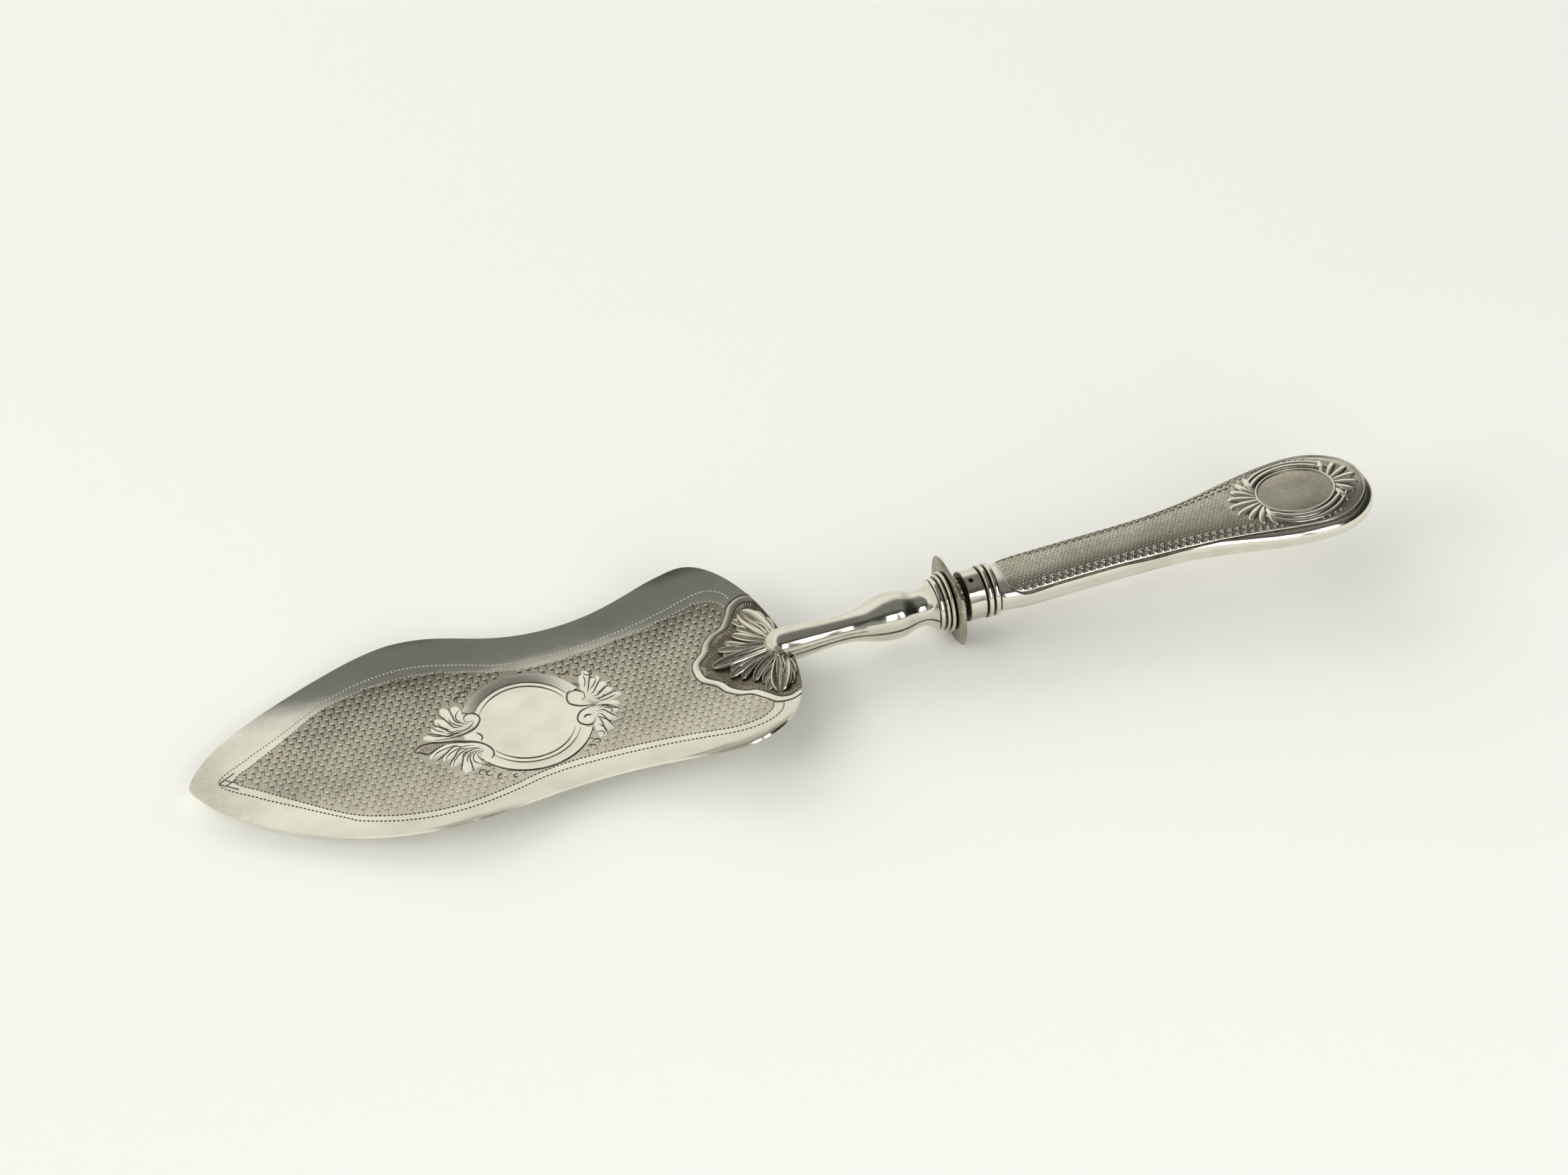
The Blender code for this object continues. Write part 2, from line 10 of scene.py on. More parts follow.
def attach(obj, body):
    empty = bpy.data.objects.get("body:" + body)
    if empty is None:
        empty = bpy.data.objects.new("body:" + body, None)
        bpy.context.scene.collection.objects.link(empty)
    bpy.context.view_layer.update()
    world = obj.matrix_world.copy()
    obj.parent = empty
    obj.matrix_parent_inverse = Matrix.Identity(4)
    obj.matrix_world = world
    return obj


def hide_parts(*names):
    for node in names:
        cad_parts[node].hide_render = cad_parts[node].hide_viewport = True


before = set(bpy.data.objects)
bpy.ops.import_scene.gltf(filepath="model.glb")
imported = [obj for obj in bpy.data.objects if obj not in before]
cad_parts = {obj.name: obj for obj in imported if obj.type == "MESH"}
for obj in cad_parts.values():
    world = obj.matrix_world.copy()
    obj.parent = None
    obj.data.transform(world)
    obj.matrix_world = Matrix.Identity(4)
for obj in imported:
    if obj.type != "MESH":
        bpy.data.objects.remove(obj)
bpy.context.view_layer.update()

# Ornament is laid out in pitches of the blade's engine turning, x from blade to butt and y towards the far side
PITCH = 0.00205
ROW_STEP = 0.9
LAYOUT_X = -0.11416

# Blade, as in the solids; a pull or an ease is the share by which a curve's handles reach out
TIP_X = -0.1452066
BLADE_LENGTH = 0.1412
BLADE_THICKNESS = 0.0011
BELLY = (0.0537, 0.0316)
WAIST = (0.0897, 0.0268)
SHOULDER = (0.1222, 0.0316)
TIP_PULL = (0.075, 0.44, 0.63)
BELLY_EASE = (0.39, 0.44)
WAIST_EASE = (0.46, 0.28)
CORNER_PULL = (0.53, 0.016, 0.60)
RIM_TURN_UP = 0.0043
RIM_TURN_LIMIT = 1.15
RIM_HOLLOW = 0.27
FAR_RIM_TURN, FAR_RIM_BEND = 0.73, 5.0
NEAR_RIM_TURN, NEAR_RIM_BEND = 0.60, 3.2
TIP_RISE = 0.0028
HEEL_RISE = 0.0045
RISE_BEND = 1.6
HALF_SOLE = 0.0080
SOLE_FRONT_AT = 0.0507
SOLE_BACK_AT = 0.0687
CORNER_LIFT = 0.0062
CORNER_LIFT_AT = 0.1187
CORNER_BEND = 1.5
RIM_FILING = 0.997
RIM_THINNING = 0.45
RIM_TAPER = 0.004
RIM_SOFTENING = 0.00024
END_FILING = 0.00010

# Line of stem and handle
AXIS_SLOPE = math.radians(2.87)
AXIS_POINT = np.array([0.0359934, 0.0, 0.0082672])
AXIS_ALONG = np.array([math.cos(AXIS_SLOPE), 0.0, math.sin(AXIS_SLOPE)])
AXIS_UP = np.array([-math.sin(AXIS_SLOPE), 0.0, math.cos(AXIS_SLOPE)])
AXIS_ACROSS = np.array([0.0, 1.0, 0.0])
GUARD_X = 73.2

# Stem; places along it are shares of its length from the back
STEM_BACK = -0.00455
STEM_LENGTH = 0.0417
STEM_SEAM = -0.0005
SEAM_GAP = 0.0002
SEAM_SPREAD = 0.00022
STEM_SQUARENESS = 2.5
STEM_FILING = 0.985
STEM_EASE = (0.45, 0.45)
FLARE_PULL, FLARE_RADIUS = 0.03, 0.0060
NECK_AT, NECK_RADIUS = 0.070, 0.0041
SWELL_AT, SWELL_RADIUS = 0.235, 0.0054
SLIM_AT, SLIM_RADIUS = 0.560, 0.0032
DROP_RADIUS = 0.0039
HEEL_GAP = 0.0003
STEM_CUTS_FROM, STEM_CUTS_TO = 0.42, 0.94
STEM_CUT_ANGLES, STEM_CUT_SPREAD = (64.0, 79.0), 2.0
STEM_TONE, SEAM_TONE, STEM_CUT_TONE = 0.08, 0.8, 0.65

# Mouldings as front, back, foot and crown; the guard as its thickness, width and height
REEDS = ((-0.00435, -0.00290, 0.0058, 0.0063), (-0.00280, -0.00190, 0.0061, 0.0068),
         (-0.00180, -0.00075, 0.0064, 0.0074))
REED_GROOVES, REED_GROOVE_WIDTH = (-0.00435, -0.00285, -0.00185, -0.00075), 0.00016
COLLAR = (0.00075, 0.00295, 0.0046, 0.0056)
COLLAR_LOBES = 22
COLLAR_PINCH, COLLAR_PINCH_FROM = 0.86, 0.004
COLLAR_TONE_DEPTH = 0.0012
SLEEVE_FRONT, SLEEVE_BACK = 0.00315, 0.00755
SLEEVE_RADIUS, SLEEVE_END_RADIUS = 0.0061, 0.0059
SLEEVE_EDGE = 0.0002
FRONT_BEAD, REAR_BEAD = 0.00775, 0.00945
BEAD_LENGTH, BEAD_FOOT, BEAD_CROWN = 0.0015, 0.0058, 0.0065
FERRULE_BORE = 0.0047
FERRULE_GROOVE_WIDTH = 0.00022
TANG_BORE = 0.0021
GUARD_SIZE = (0.0011, 0.0202, 0.0165)
GUARD_CORNER = 0.0046
GUARD_POINT = 0.0016
GUARD_EDGE = 0.0003
# The guard's tone is a painted dark reflection, darkest at its middle: its reach and range
GUARD_TONE_REACH, GUARD_TONE_RANGE = 0.022, (0.48, 0.75)
PIN_ALONG = 0.0049
PIN_TURN = math.radians(16.0)
PIN_RADIUS = 0.00060
DRILL_LENGTH = 0.004

# Handle; the struck relief stands up to the face of the solids, so the shell itself lies a little lower
HANDLE_FRONT = 0.01115
HANDLE_LENGTH = 0.0982
HANDLE_NECK = (0.0, 0.0061)
HANDLE_GRIP = (0.0330, 0.0071)
HANDLE_BUTT = (0.0820, 0.0144)
NECK_PULL = (0.06, 0.9, 0.3)
GRIP_EASE = (0.50, 0.36)
BUTT_PULL = (0.55, 0.62)
HANDLE_THICKNESS = 0.0080
BUTT_THICKNESS = 0.0076
HANDLE_DIP = 0.0001
HANDLE_LIFT = 0.0022
END_ROUNDING = 0.0040
HANDLE_SQUARENESS = 3.1
SHELL_THICKNESS = 0.0007
SOLDER_GAP = 0.00002
RELIEF_ROOM = 0.00028

chance = np.random.default_rng(7)


# Lines


def cubic(start, out_handle, in_handle, end, steps):
    t = np.linspace(0.0, 1.0, steps + 1)[:, None]
    a, b, c, d = (np.array(p, float) for p in (start, out_handle, in_handle, end))
    return (1 - t) ** 3 * a + 3 * t * (1 - t) ** 2 * b + 3 * t * t * (1 - t) * c + t ** 3 * d


def level(start, end, out_share, in_share, steps):
    """A cubic that leaves and arrives level."""
    gap = end[0] - start[0]
    return cubic(start, (start[0] + out_share * gap, start[1]), (end[0] - in_share * gap, end[1]), end, steps)


def joined(*pieces):
    return np.vstack([pieces[0]] + [piece[1:] for piece in pieces[1:]])


def evenly(points, step):
    """The same line with points an even step apart."""
    points = np.asarray(points, float)
    run = np.concatenate([[0.0], np.cumsum(np.linalg.norm(np.diff(points, axis=0), axis=1))])
    at = np.linspace(0.0, run[-1], max(2, int(round(run[-1] / step))) + 1)
    return np.stack([np.interp(at, run, points[:, k]) for k in range(points.shape[1])], -1)


def smooth(points, step=0.2):
    """A rounded line through the given points, with points an even step apart."""
    points = np.asarray(points, float)
    ends = np.vstack([2 * points[0] - points[1], points, 2 * points[-1] - points[-2]])
    pieces = []
    for k in range(1, len(ends) - 2):
        before, start, end, after = ends[k - 1:k + 3]
        pieces.append(cubic(start, start + (end - before) / 6, end - (after - start) / 6, end, 12))
    return evenly(joined(*pieces), step)


def both_sides(half):
    """A line given for the far side, carried round through its first point to the near side."""
    half = np.asarray(half, float)
    return np.vstack([half[::-1] * (1.0, -1.0), half[1:]])


def mirrored(line):
    """A line of the far side, and the same line on the near side."""
    line = np.asarray(line, float)
    return line, line * (1.0, -1.0)


def oval(centre, semi, start, end, count=120):
    t = np.radians(np.linspace(start, end, count))
    return np.stack([centre[0] + semi[0] * np.cos(t), centre[1] + semi[1] * np.sin(t)], -1)


def with_width(line, *widths):
    """A line with its half width at even stations along it."""
    line = np.asarray(line, float)
    stations = np.linspace(0.0, 1.0, len(widths))
    return np.column_stack([line, np.interp(np.linspace(0.0, 1.0, len(line)), stations, widths)])


PETAL_FULLEST = 0.65
PETAL_THINNEST = 0.004


def petal(root, bend, tip, half_width, root_share, bluntness=0.5):
    """A leaf lobe: slim at its root, full at two thirds, and round or pointed at its tip."""
    line = evenly(cubic(root, bend, bend, tip, 20), 0.15)
    t = np.linspace(0.0, 1.0, len(line))
    swell = root_share + (1.0 - root_share) * np.sin(np.clip(t / PETAL_FULLEST, 0.0, 1.0) * math.pi / 2)
    past = np.clip((t - PETAL_FULLEST) / (1.0 - PETAL_FULLEST), 0.0, 1.0)
    blunt = np.clip(1.0 - past ** 2, PETAL_THINNEST, 1.0) ** bluntness
    return np.column_stack([line, half_width * swell * blunt])


def fan(lobes, widening, root_share, bluntness):
    """Lobes given for the far side, set on both sides; a lobe on the middle line comes once."""
    found = []
    for *spots, half_width in lobes:
        for sign in ((1, -1) if spots[2][1] else (1,)):
            found.append(petal(*[(x, sign * y) for x, y in spots], widening * half_width, root_share, bluntness))
    return found


def inside(polygon, x, y):
    """Which places lie inside a closed outline."""
    found = np.zeros(np.shape(x), bool)
    for (x1, y1), (x2, y2) in zip(polygon, np.roll(polygon, -1, axis=0)):
        if y1 != y2:
            found ^= ((y1 > y) != (y2 > y)) & (x < (x2 - x1) * (y - y1) / (y2 - y1) + x1)
    return found

def in_oval(centre, semi, x, y):
    return ((x - centre[0]) / semi[0]) ** 2 + ((y - centre[1]) / semi[1]) ** 2 < 1.0


# Surfaces that carry ornament


def blade_edge(steps):
    gap = BLADE_LENGTH - SHOULDER[0]
    point = cubic((0.0, 0.0), (TIP_PULL[0] * BELLY[0], TIP_PULL[1] * BELLY[1]), (TIP_PULL[2] * BELLY[0], BELLY[1]),
                  BELLY, steps)
    corner = cubic(SHOULDER, (SHOULDER[0] + CORNER_PULL[0] * gap, SHOULDER[1]),
                   (BLADE_LENGTH - CORNER_PULL[1] * gap, CORNER_PULL[2] * SHOULDER[1]), (BLADE_LENGTH, 0.0), steps)
    return joined(point, level(BELLY, WAIST, *BELLY_EASE, steps), level(WAIST, SHOULDER, *WAIST_EASE, steps), corner)


def blade_top(along, across):
    """Height of the blade's upper face above the table."""
    front = np.maximum(0.0, 1.0 - along / SOLE_FRONT_AT)
    back = np.maximum(0.0, (along - SOLE_BACK_AT) / (BLADE_LENGTH - SOLE_BACK_AT))
    aside = np.maximum(0.0, (np.abs(across) - HALF_SOLE) / (BELLY[1] - HALF_SOLE))
    turn = np.where(across < 0.0, NEAR_RIM_TURN * aside ** NEAR_RIM_BEND, FAR_RIM_TURN * aside ** FAR_RIM_BEND)
    grown = np.minimum(0.5 + 0.5 * along / BELLY[0], RIM_TURN_LIMIT)
    rim = grown * RIM_TURN_UP * (RIM_HOLLOW * aside ** 2 + turn)
    corner = np.maximum(0.0, (along - CORNER_LIFT_AT) / (BLADE_LENGTH - CORNER_LIFT_AT)) ** CORNER_BEND
    lift = CORNER_LIFT * corner * (across / SHOULDER[1]) ** 2
    return BLADE_THICKNESS + TIP_RISE * front ** RISE_BEND + HEEL_RISE * back ** RISE_BEND + rim + lift


def on_blade(x, y):
    """Points of the blade's upper face at layout places."""
    world_x, world_y = LAYOUT_X + PITCH * x, PITCH * y
    return np.stack([world_x, world_y, blade_top(np.clip(world_x - TIP_X, 0.0, 1.0), world_y)], -1)


def handle_edge(steps):
    gap = HANDLE_LENGTH - HANDLE_BUTT[0]
    rise = NECK_PULL[1] * HANDLE_GRIP[1] + (1.0 - NECK_PULL[1]) * HANDLE_NECK[1]
    neck = cubic(HANDLE_NECK, (NECK_PULL[0] * HANDLE_GRIP[0], rise), (NECK_PULL[2] * HANDLE_GRIP[0], HANDLE_GRIP[1]),
                 HANDLE_GRIP, steps)
    butt = cubic(HANDLE_BUTT, (HANDLE_BUTT[0] + BUTT_PULL[0] * gap, HANDLE_BUTT[1]),
                 (HANDLE_LENGTH, BUTT_PULL[1] * HANDLE_BUTT[1]), (HANDLE_LENGTH, 0.0), steps)
    return joined(neck, level(HANDLE_GRIP, HANDLE_BUTT, *GRIP_EASE, steps), butt)


HANDLE_OUTLINE = handle_edge(60)


def handle_sizes(along):
    """Half height and middle height of the handle's shell at a place along it."""
    share = along / HANDLE_LENGTH
    thickness = HANDLE_THICKNESS + (BUTT_THICKNESS - HANDLE_THICKNESS) * share
    past = np.clip((along - (HANDLE_LENGTH - END_ROUNDING)) / END_ROUNDING, 0.0, 1.0)
    return (thickness / 2 - RELIEF_ROOM) * np.sqrt(1.0 - past * past), (HANDLE_LIFT + HANDLE_DIP) * share - HANDLE_DIP


def from_axis(along, across, up):
    """World points from places along, across and above the line of stem and handle."""
    along, across, up = (v[..., None] for v in np.broadcast_arrays(along, across, up))
    return AXIS_POINT + along * AXIS_ALONG + across * AXIS_ACROSS + up * AXIS_UP


def on_handle(side):
    """The handle's upper (1) or lower (-1) face as a function of layout places."""
    def place(x, y):
        along = np.clip((x - GUARD_X) * PITCH - HANDLE_FRONT, 0.0, HANDLE_LENGTH)
        half_height, middle = handle_sizes(along)
        half_width = np.interp(along, HANDLE_OUTLINE[:, 0], HANDLE_OUTLINE[:, 1])
        inward = np.clip(np.abs(PITCH * y) / np.maximum(half_width, 1e-6), 0.0, 1.0)
        crown = (1.0 - inward ** HANDLE_SQUARENESS) ** (1.0 / HANDLE_SQUARENESS)
        return from_axis(HANDLE_FRONT + along, PITCH * y, middle + side * half_height * crown)
    return place


# Modelling


def alone(piece):
    """Select one piece and nothing else."""
    bpy.ops.object.select_all(action="DESELECT")
    piece.select_set(True)
    bpy.context.view_layer.objects.active = piece


def begun(name):
    """The primitive that was just added, under its own name."""
    piece = bpy.context.object
    piece.name = piece.data.name = name
    return piece


def added(name, primitive, **settings):
    """A new primitive under its own name, added with nothing else selected."""
    bpy.ops.object.select_all(action="DESELECT")
    primitive(**settings)
    return begun(name)


def points_of(piece):
    points = np.empty(len(piece.data.vertices) * 3, np.float32)
    piece.data.vertices.foreach_get("co", points)
    return points.reshape(-1, 3).astype(float)


def radius_of(points):
    """Distance from the axis of turned work, before it is set in place."""
    return np.hypot(points[:, 1], points[:, 2])


def put_points(piece, points):
    piece.data.vertices.foreach_set("co", np.asarray(points, np.float32).ravel())
    piece.data.update()


def choose(piece, kind, flags):
    """Open a piece for editing with only the given vertices, edges or faces selected."""
    bpy.context.tool_settings.mesh_select_mode = tuple(kind == name for name in ("vertices", "edges", "polygons"))
    for name in ("vertices", "edges", "polygons"):
        parts = getattr(piece.data, name)
        parts.foreach_set("select", np.asarray(flags, bool) if name == kind else np.zeros(len(parts), bool))
    alone(piece)
    bpy.ops.object.mode_set(mode="EDIT")


def open_all(piece):
    alone(piece)
    bpy.ops.object.mode_set(mode="EDIT")
    bpy.ops.mesh.select_all(action="SELECT")


def close():
    bpy.ops.object.mode_set(mode="OBJECT")


def clean(piece, weld=0.0000005):
    """Merge what lies on one spot and turn every face outwards."""
    open_all(piece)
    bpy.ops.mesh.remove_doubles(threshold=weld)
    bpy.ops.mesh.normals_make_consistent(inside=False)
    close()
    bpy.ops.object.shade_smooth()


def cut_away(piece, spot, normal):
    """Cut a piece by a plane, take away what lies behind it and close the cut."""
    open_all(piece)
    bpy.ops.mesh.bisect(plane_co=spot, plane_no=normal, use_fill=True, clear_inner=True)
    close()


def apply_all(piece):
    alone(piece)
    for step in list(piece.modifiers):
        bpy.ops.object.modifier_apply(modifier=step.name)


def one_piece(name, *parts):
    alone(parts[0])
    for part in parts[1:]:
        part.select_set(True)
    bpy.ops.object.join()
    return begun(name)


def discard(*things):
    for thing in things:
        bpy.data.objects.remove(thing)


def keep_tarnish_and_shade(piece, tarnish_and_shade):
    """Keep how dark each point is: tarnished out of a polishing cloth's reach, and on some pieces with painted shade
    and painted dark reflections.
    """
    layer = piece.data.attributes.get("tarnish_and_shade") or piece.data.attributes.new("tarnish_and_shade", "FLOAT", "POINT")
    layer.data.foreach_set("value", np.asarray(tarnish_and_shade, np.float32))


def sheet_along(name, outline, step, rows, columns):
    """A grid to be shaped along an outline: the piece, each row's place and half width, each point's row and side."""
    outline = evenly(outline, step)
    at = np.linspace(0.0, len(outline) - 1, rows + 1)
    along, half = (np.interp(at, np.arange(len(outline)), outline[:, k]) for k in (0, 1))
    piece = added(name, bpy.ops.mesh.primitive_grid_add, x_subdivisions=columns, y_subdivisions=rows, size=2.0)
    grid = points_of(piece)
    return piece, along, half * RIM_FILING, np.rint((grid[:, 1] + 1.0) / 2.0 * rows).astype(int), grid[:, 0]


def face_up(sheet, up):
    """Weld a sheet and turn its faces the given way."""
    clean(sheet)
    if sum(Vector(up) @ face.normal for face in sheet.data.polygons) < 0.0:
        sheet.data.flip_normals()


def thicken(sheet, thickness, group=""):
    """Give a sheet its wall, away from its face; a vertex group says where the wall is thinner."""
    wall = sheet.modifiers.new("wall", "SOLIDIFY")
    wall.thickness = thickness
    wall.offset = -1.0
    wall.vertex_group = group


def shade(piece, degrees):
    alone(piece)
    bpy.ops.object.shade_smooth_by_angle(angle=math.radians(degrees))


def drawn_curve(name, lines, closed=False):
    """A flat curve object through lines of (x, y) or (x, y, half width) layout places."""
    curve = added(name, bpy.ops.curve.primitive_bezier_curve_add)
    curve.data.splines.clear()
    curve.data.dimensions = "2D"
    curve.data.fill_mode = "NONE"
    for line in lines:
        spline = curve.data.splines.new("POLY")
        spline.points.add(len(line) - 1)
        for point, spot in zip(spline.points, line):
            point.co = (spot[0] * PITCH, spot[1] * PITCH, 0.0, 1.0)
            point.radius = spot[2] if len(spot) > 2 else 1.0
        spline.use_cyclic_u = closed
    return curve


def even_section(*left):
    """A section given from its left foot to its middle, with the right side like the left."""
    return [*left, *((-across, up) for across, up in reversed(left) if across)]


# Sections of drawn relief, (across, up) for a half width and height of one; the right of the line comes last
FLAT = even_section((-1.0, -0.6), (-0.96, 0.75), (-0.86, 1.0))
INWARD = [(-1.0, -0.6), (-0.97, 0.10), (-0.88, 0.22), (0.86, 0.92), (0.95, 0.95), (1.0, -0.6)]
ROUND = even_section((-1.0, -0.6), (-0.92, 0.35), (-0.70, 0.74), (-0.38, 0.94), (0.0, 1.0))
CUT = even_section((-1.0, -0.6), (-0.7, 0.8), (0.0, 1.0))
SPOON = even_section((-1.0, -0.3), (-0.95, 0.55), (-0.85, 0.95), (-0.74, 1.0), (-0.60, 0.74), (-0.38, 0.38),
                     (-0.14, 0.32), (0.0, 0.56))


def relief(name, lines, section, steepness, darkness=(1.0, 0.0), closed=False):
    """Raised work of one section along drawn lines, flat on the layout; tarnish is from its foot to its top."""
    outline = drawn_curve(name + "_section", [[(a, b * steepness) for a, b in section]], True)
    work = drawn_curve(name, lines, closed)
    work.data.bevel_mode = "OBJECT"
    work.data.bevel_object = outline
    work.data.use_fill_caps = not closed
    alone(work)
    bpy.ops.object.convert(target="MESH")
    work = begun(name)
    discard(outline)
    clean(work)
    spots = np.vstack(lines)
    tree = KDTree(len(spots))
    for k, spot in enumerate(spots):
        tree.insert((spot[0] * PITCH, spot[1] * PITCH, 0.0), k)
    tree.balance()
    flat = points_of(work)
    width = np.array([spots[tree.find((x, y, 0.0))[1]][2] for x, y, _ in flat])
    share = np.clip(flat[:, 2] / np.maximum(width * PITCH * steepness, 1e-7), 0.0, 1.0)
    keep_tarnish_and_shade(work, np.clip(darkness[0] + (darkness[1] - darkness[0]) * share, 0.0, 1.0))
    return work


BUMP_SUNK = 0.4
PICK_ROOM = 0.3
PICK_WANDER = 0.03
PICK_UNEVENNESS = 0.12


def bump(name, size, segments, rings):
    """One raised dash or bead: a ball pressed flat, with its lower half cut away just under the surface."""
    piece = added(name, bpy.ops.mesh.primitive_uv_sphere_add, segments=segments, ring_count=rings, radius=1.0)
    cut_away(piece, (0.0, 0.0, -BUMP_SUNK), (0.0, 0.0, 1.0))
    open_all(piece)
    bpy.ops.transform.resize(value=(size[0] * PITCH, size[1] * PITCH, size[2]), center_override=(0.0, 0.0, 0.0))
    close()
    bpy.ops.object.shade_smooth()
    return piece


def repeat(piece, name, shift):
    """Copies of a small piece, each a step of the layout away from the one before."""
    step = piece.modifiers.new(name, "ARRAY")
    step.use_relative_offset = False
    step.use_constant_offset = True
    step.constant_offset_displace = (shift[0] * PITCH, shift[1] * PITCH, 0.0)
    return step


def row_along(piece, line, pitch):
    """Repeat a small piece along a line of the layout."""
    path = drawn_curve("row_line", [line])
    row = repeat(piece, "row", (pitch, 0.0))
    row.fit_type = "FIT_CURVE"
    row.curve = path
    piece.modifiers.new("follow", "CURVE").object = path
    apply_all(piece)
    discard(path)
    return piece


def rows_over(piece, start, columns, rows, column_step, row_step, keep):
    """Repeat a small piece in staggered rows, and take away the copies that keep() turns down."""
    each = len(piece.data.vertices)
    for name, count, shift in (("pair", 2, (column_step / 2, row_step)), ("columns", columns, (column_step, 0.0)),
                               ("rows", rows, (0.0, 2 * row_step))):
        repeat(piece, name, shift).count = count
    apply_all(piece)
    points = points_of(piece).reshape(-1, each, 3)
    points[..., 0] += start[0] * PITCH
    points[..., 1] += start[1] * PITCH
    centre = points.mean(1) / PITCH
    points[..., :2] += chance.normal(0.0, PICK_WANDER * PITCH, (len(points), 1, 2))
    points[..., 2] *= 1.0 + chance.normal(0.0, PICK_UNEVENNESS, (len(points), 1))
    put_points(piece, points.reshape(-1, 3))
    lost = ~keep(centre[:, 0], centre[:, 1])
    choose(piece, "vertices", np.repeat(lost, each))
    bpy.ops.mesh.delete(type="VERT")
    close()
    return piece


def darkened_by_height(piece, height, foot, top):
    """Darkening that goes from one value at the foot of a piece to another at its top."""
    share = np.clip(points_of(piece)[:, 2] / height, 0.0, 1.0)
    keep_tarnish_and_shade(piece, foot + (top - foot) * share)
    return piece


def graded(points, tone, rise, least, most):
    """Darkness that rises or falls with every pitch towards the far side, within limits; the rise is painted shade."""
    return np.clip(tone + rise * points[:, 1] / PITCH, least, most)


def lay_on(piece, surface, away=(0.0, 0.0, 1.0)):
    """Lay flat ornament on the surface that carries it, upright on that surface."""
    flat = points_of(piece)
    x, y = flat[:, 0] / PITCH, flat[:, 1] / PITCH
    step = 0.03
    out = np.cross(surface(x + step, y) - surface(x - step, y), surface(x, y + step) - surface(x, y - step))
    out /= np.maximum(np.linalg.norm(out, axis=1, keepdims=True), 1e-12)
    facing = np.sign(out @ np.asarray(away, float))[:, None]
    put_points(piece, surface(x, y) + out * facing * flat[:, 2:])
    clean(piece)
    return piece


# Silver and the other materials


def new_node(tree, kind, inputs, **settings):
    """The outputs of a new node, with its inputs set to numbers or to what other nodes give."""
    made = tree.nodes.new("ShaderNode" + kind)
    for name, value in settings.items():
        setattr(made, name, value)
    for name, value in inputs.items():
        if isinstance(value, bpy.types.NodeSocket):
            tree.links.new(value, made.inputs[name])
        else:
            made.inputs[name].default_value = value
    return made.outputs


def ramp(tree, source, stops):
    """Colours between the given stops, by the value of another node."""
    shades = new_node(tree, "ValToRGB", {"Fac": source})["Color"]
    elements = shades.node.color_ramp.elements
    elements[0].position, elements[1].position = stops[0][0], stops[-1][0]
    elements[0].color, elements[1].color = (*stops[0][1], 1.0), (*stops[-1][1], 1.0)
    for position, colour in stops[1:-1]:
        elements.new(position).color = (*colour, 1.0)
    return shades


def grey(value):
    return (value, value, value)


def noise(tree, vector, scale, detail, roughness=0.5):
    inputs = {"Vector": vector, "Scale": scale, "Detail": detail, "Roughness": roughness}
    return new_node(tree, "TexNoise", inputs)["Fac"]


def reckon(tree, operation, *values):
    """A sum on numbers or on what other nodes give."""
    return new_node(tree, "Math", dict(enumerate(values)), operation=operation)["Value"]


# Colour of silver from bright to black, for tarnish and painted shade, and how tarnish, wiping, grain and the sheet's
# swells show
TARNISH_AND_SHADE_TONES = [(0.0, (0.88, 0.865, 0.765)), (0.35, (0.56, 0.525, 0.435)), (0.7, (0.22, 0.19, 0.145)),
                 (1.0, (0.060, 0.048, 0.034))]
WIPING_SCALE = (260.0, 2600.0, 2600.0)
WIPING_DULLS = 0.08
TARNISH_DULLS = 0.34
GRAIN_HEIGHT = 0.5
SWELL_HEIGHT = 14.0
SKIN_DEPTH = 0.00004


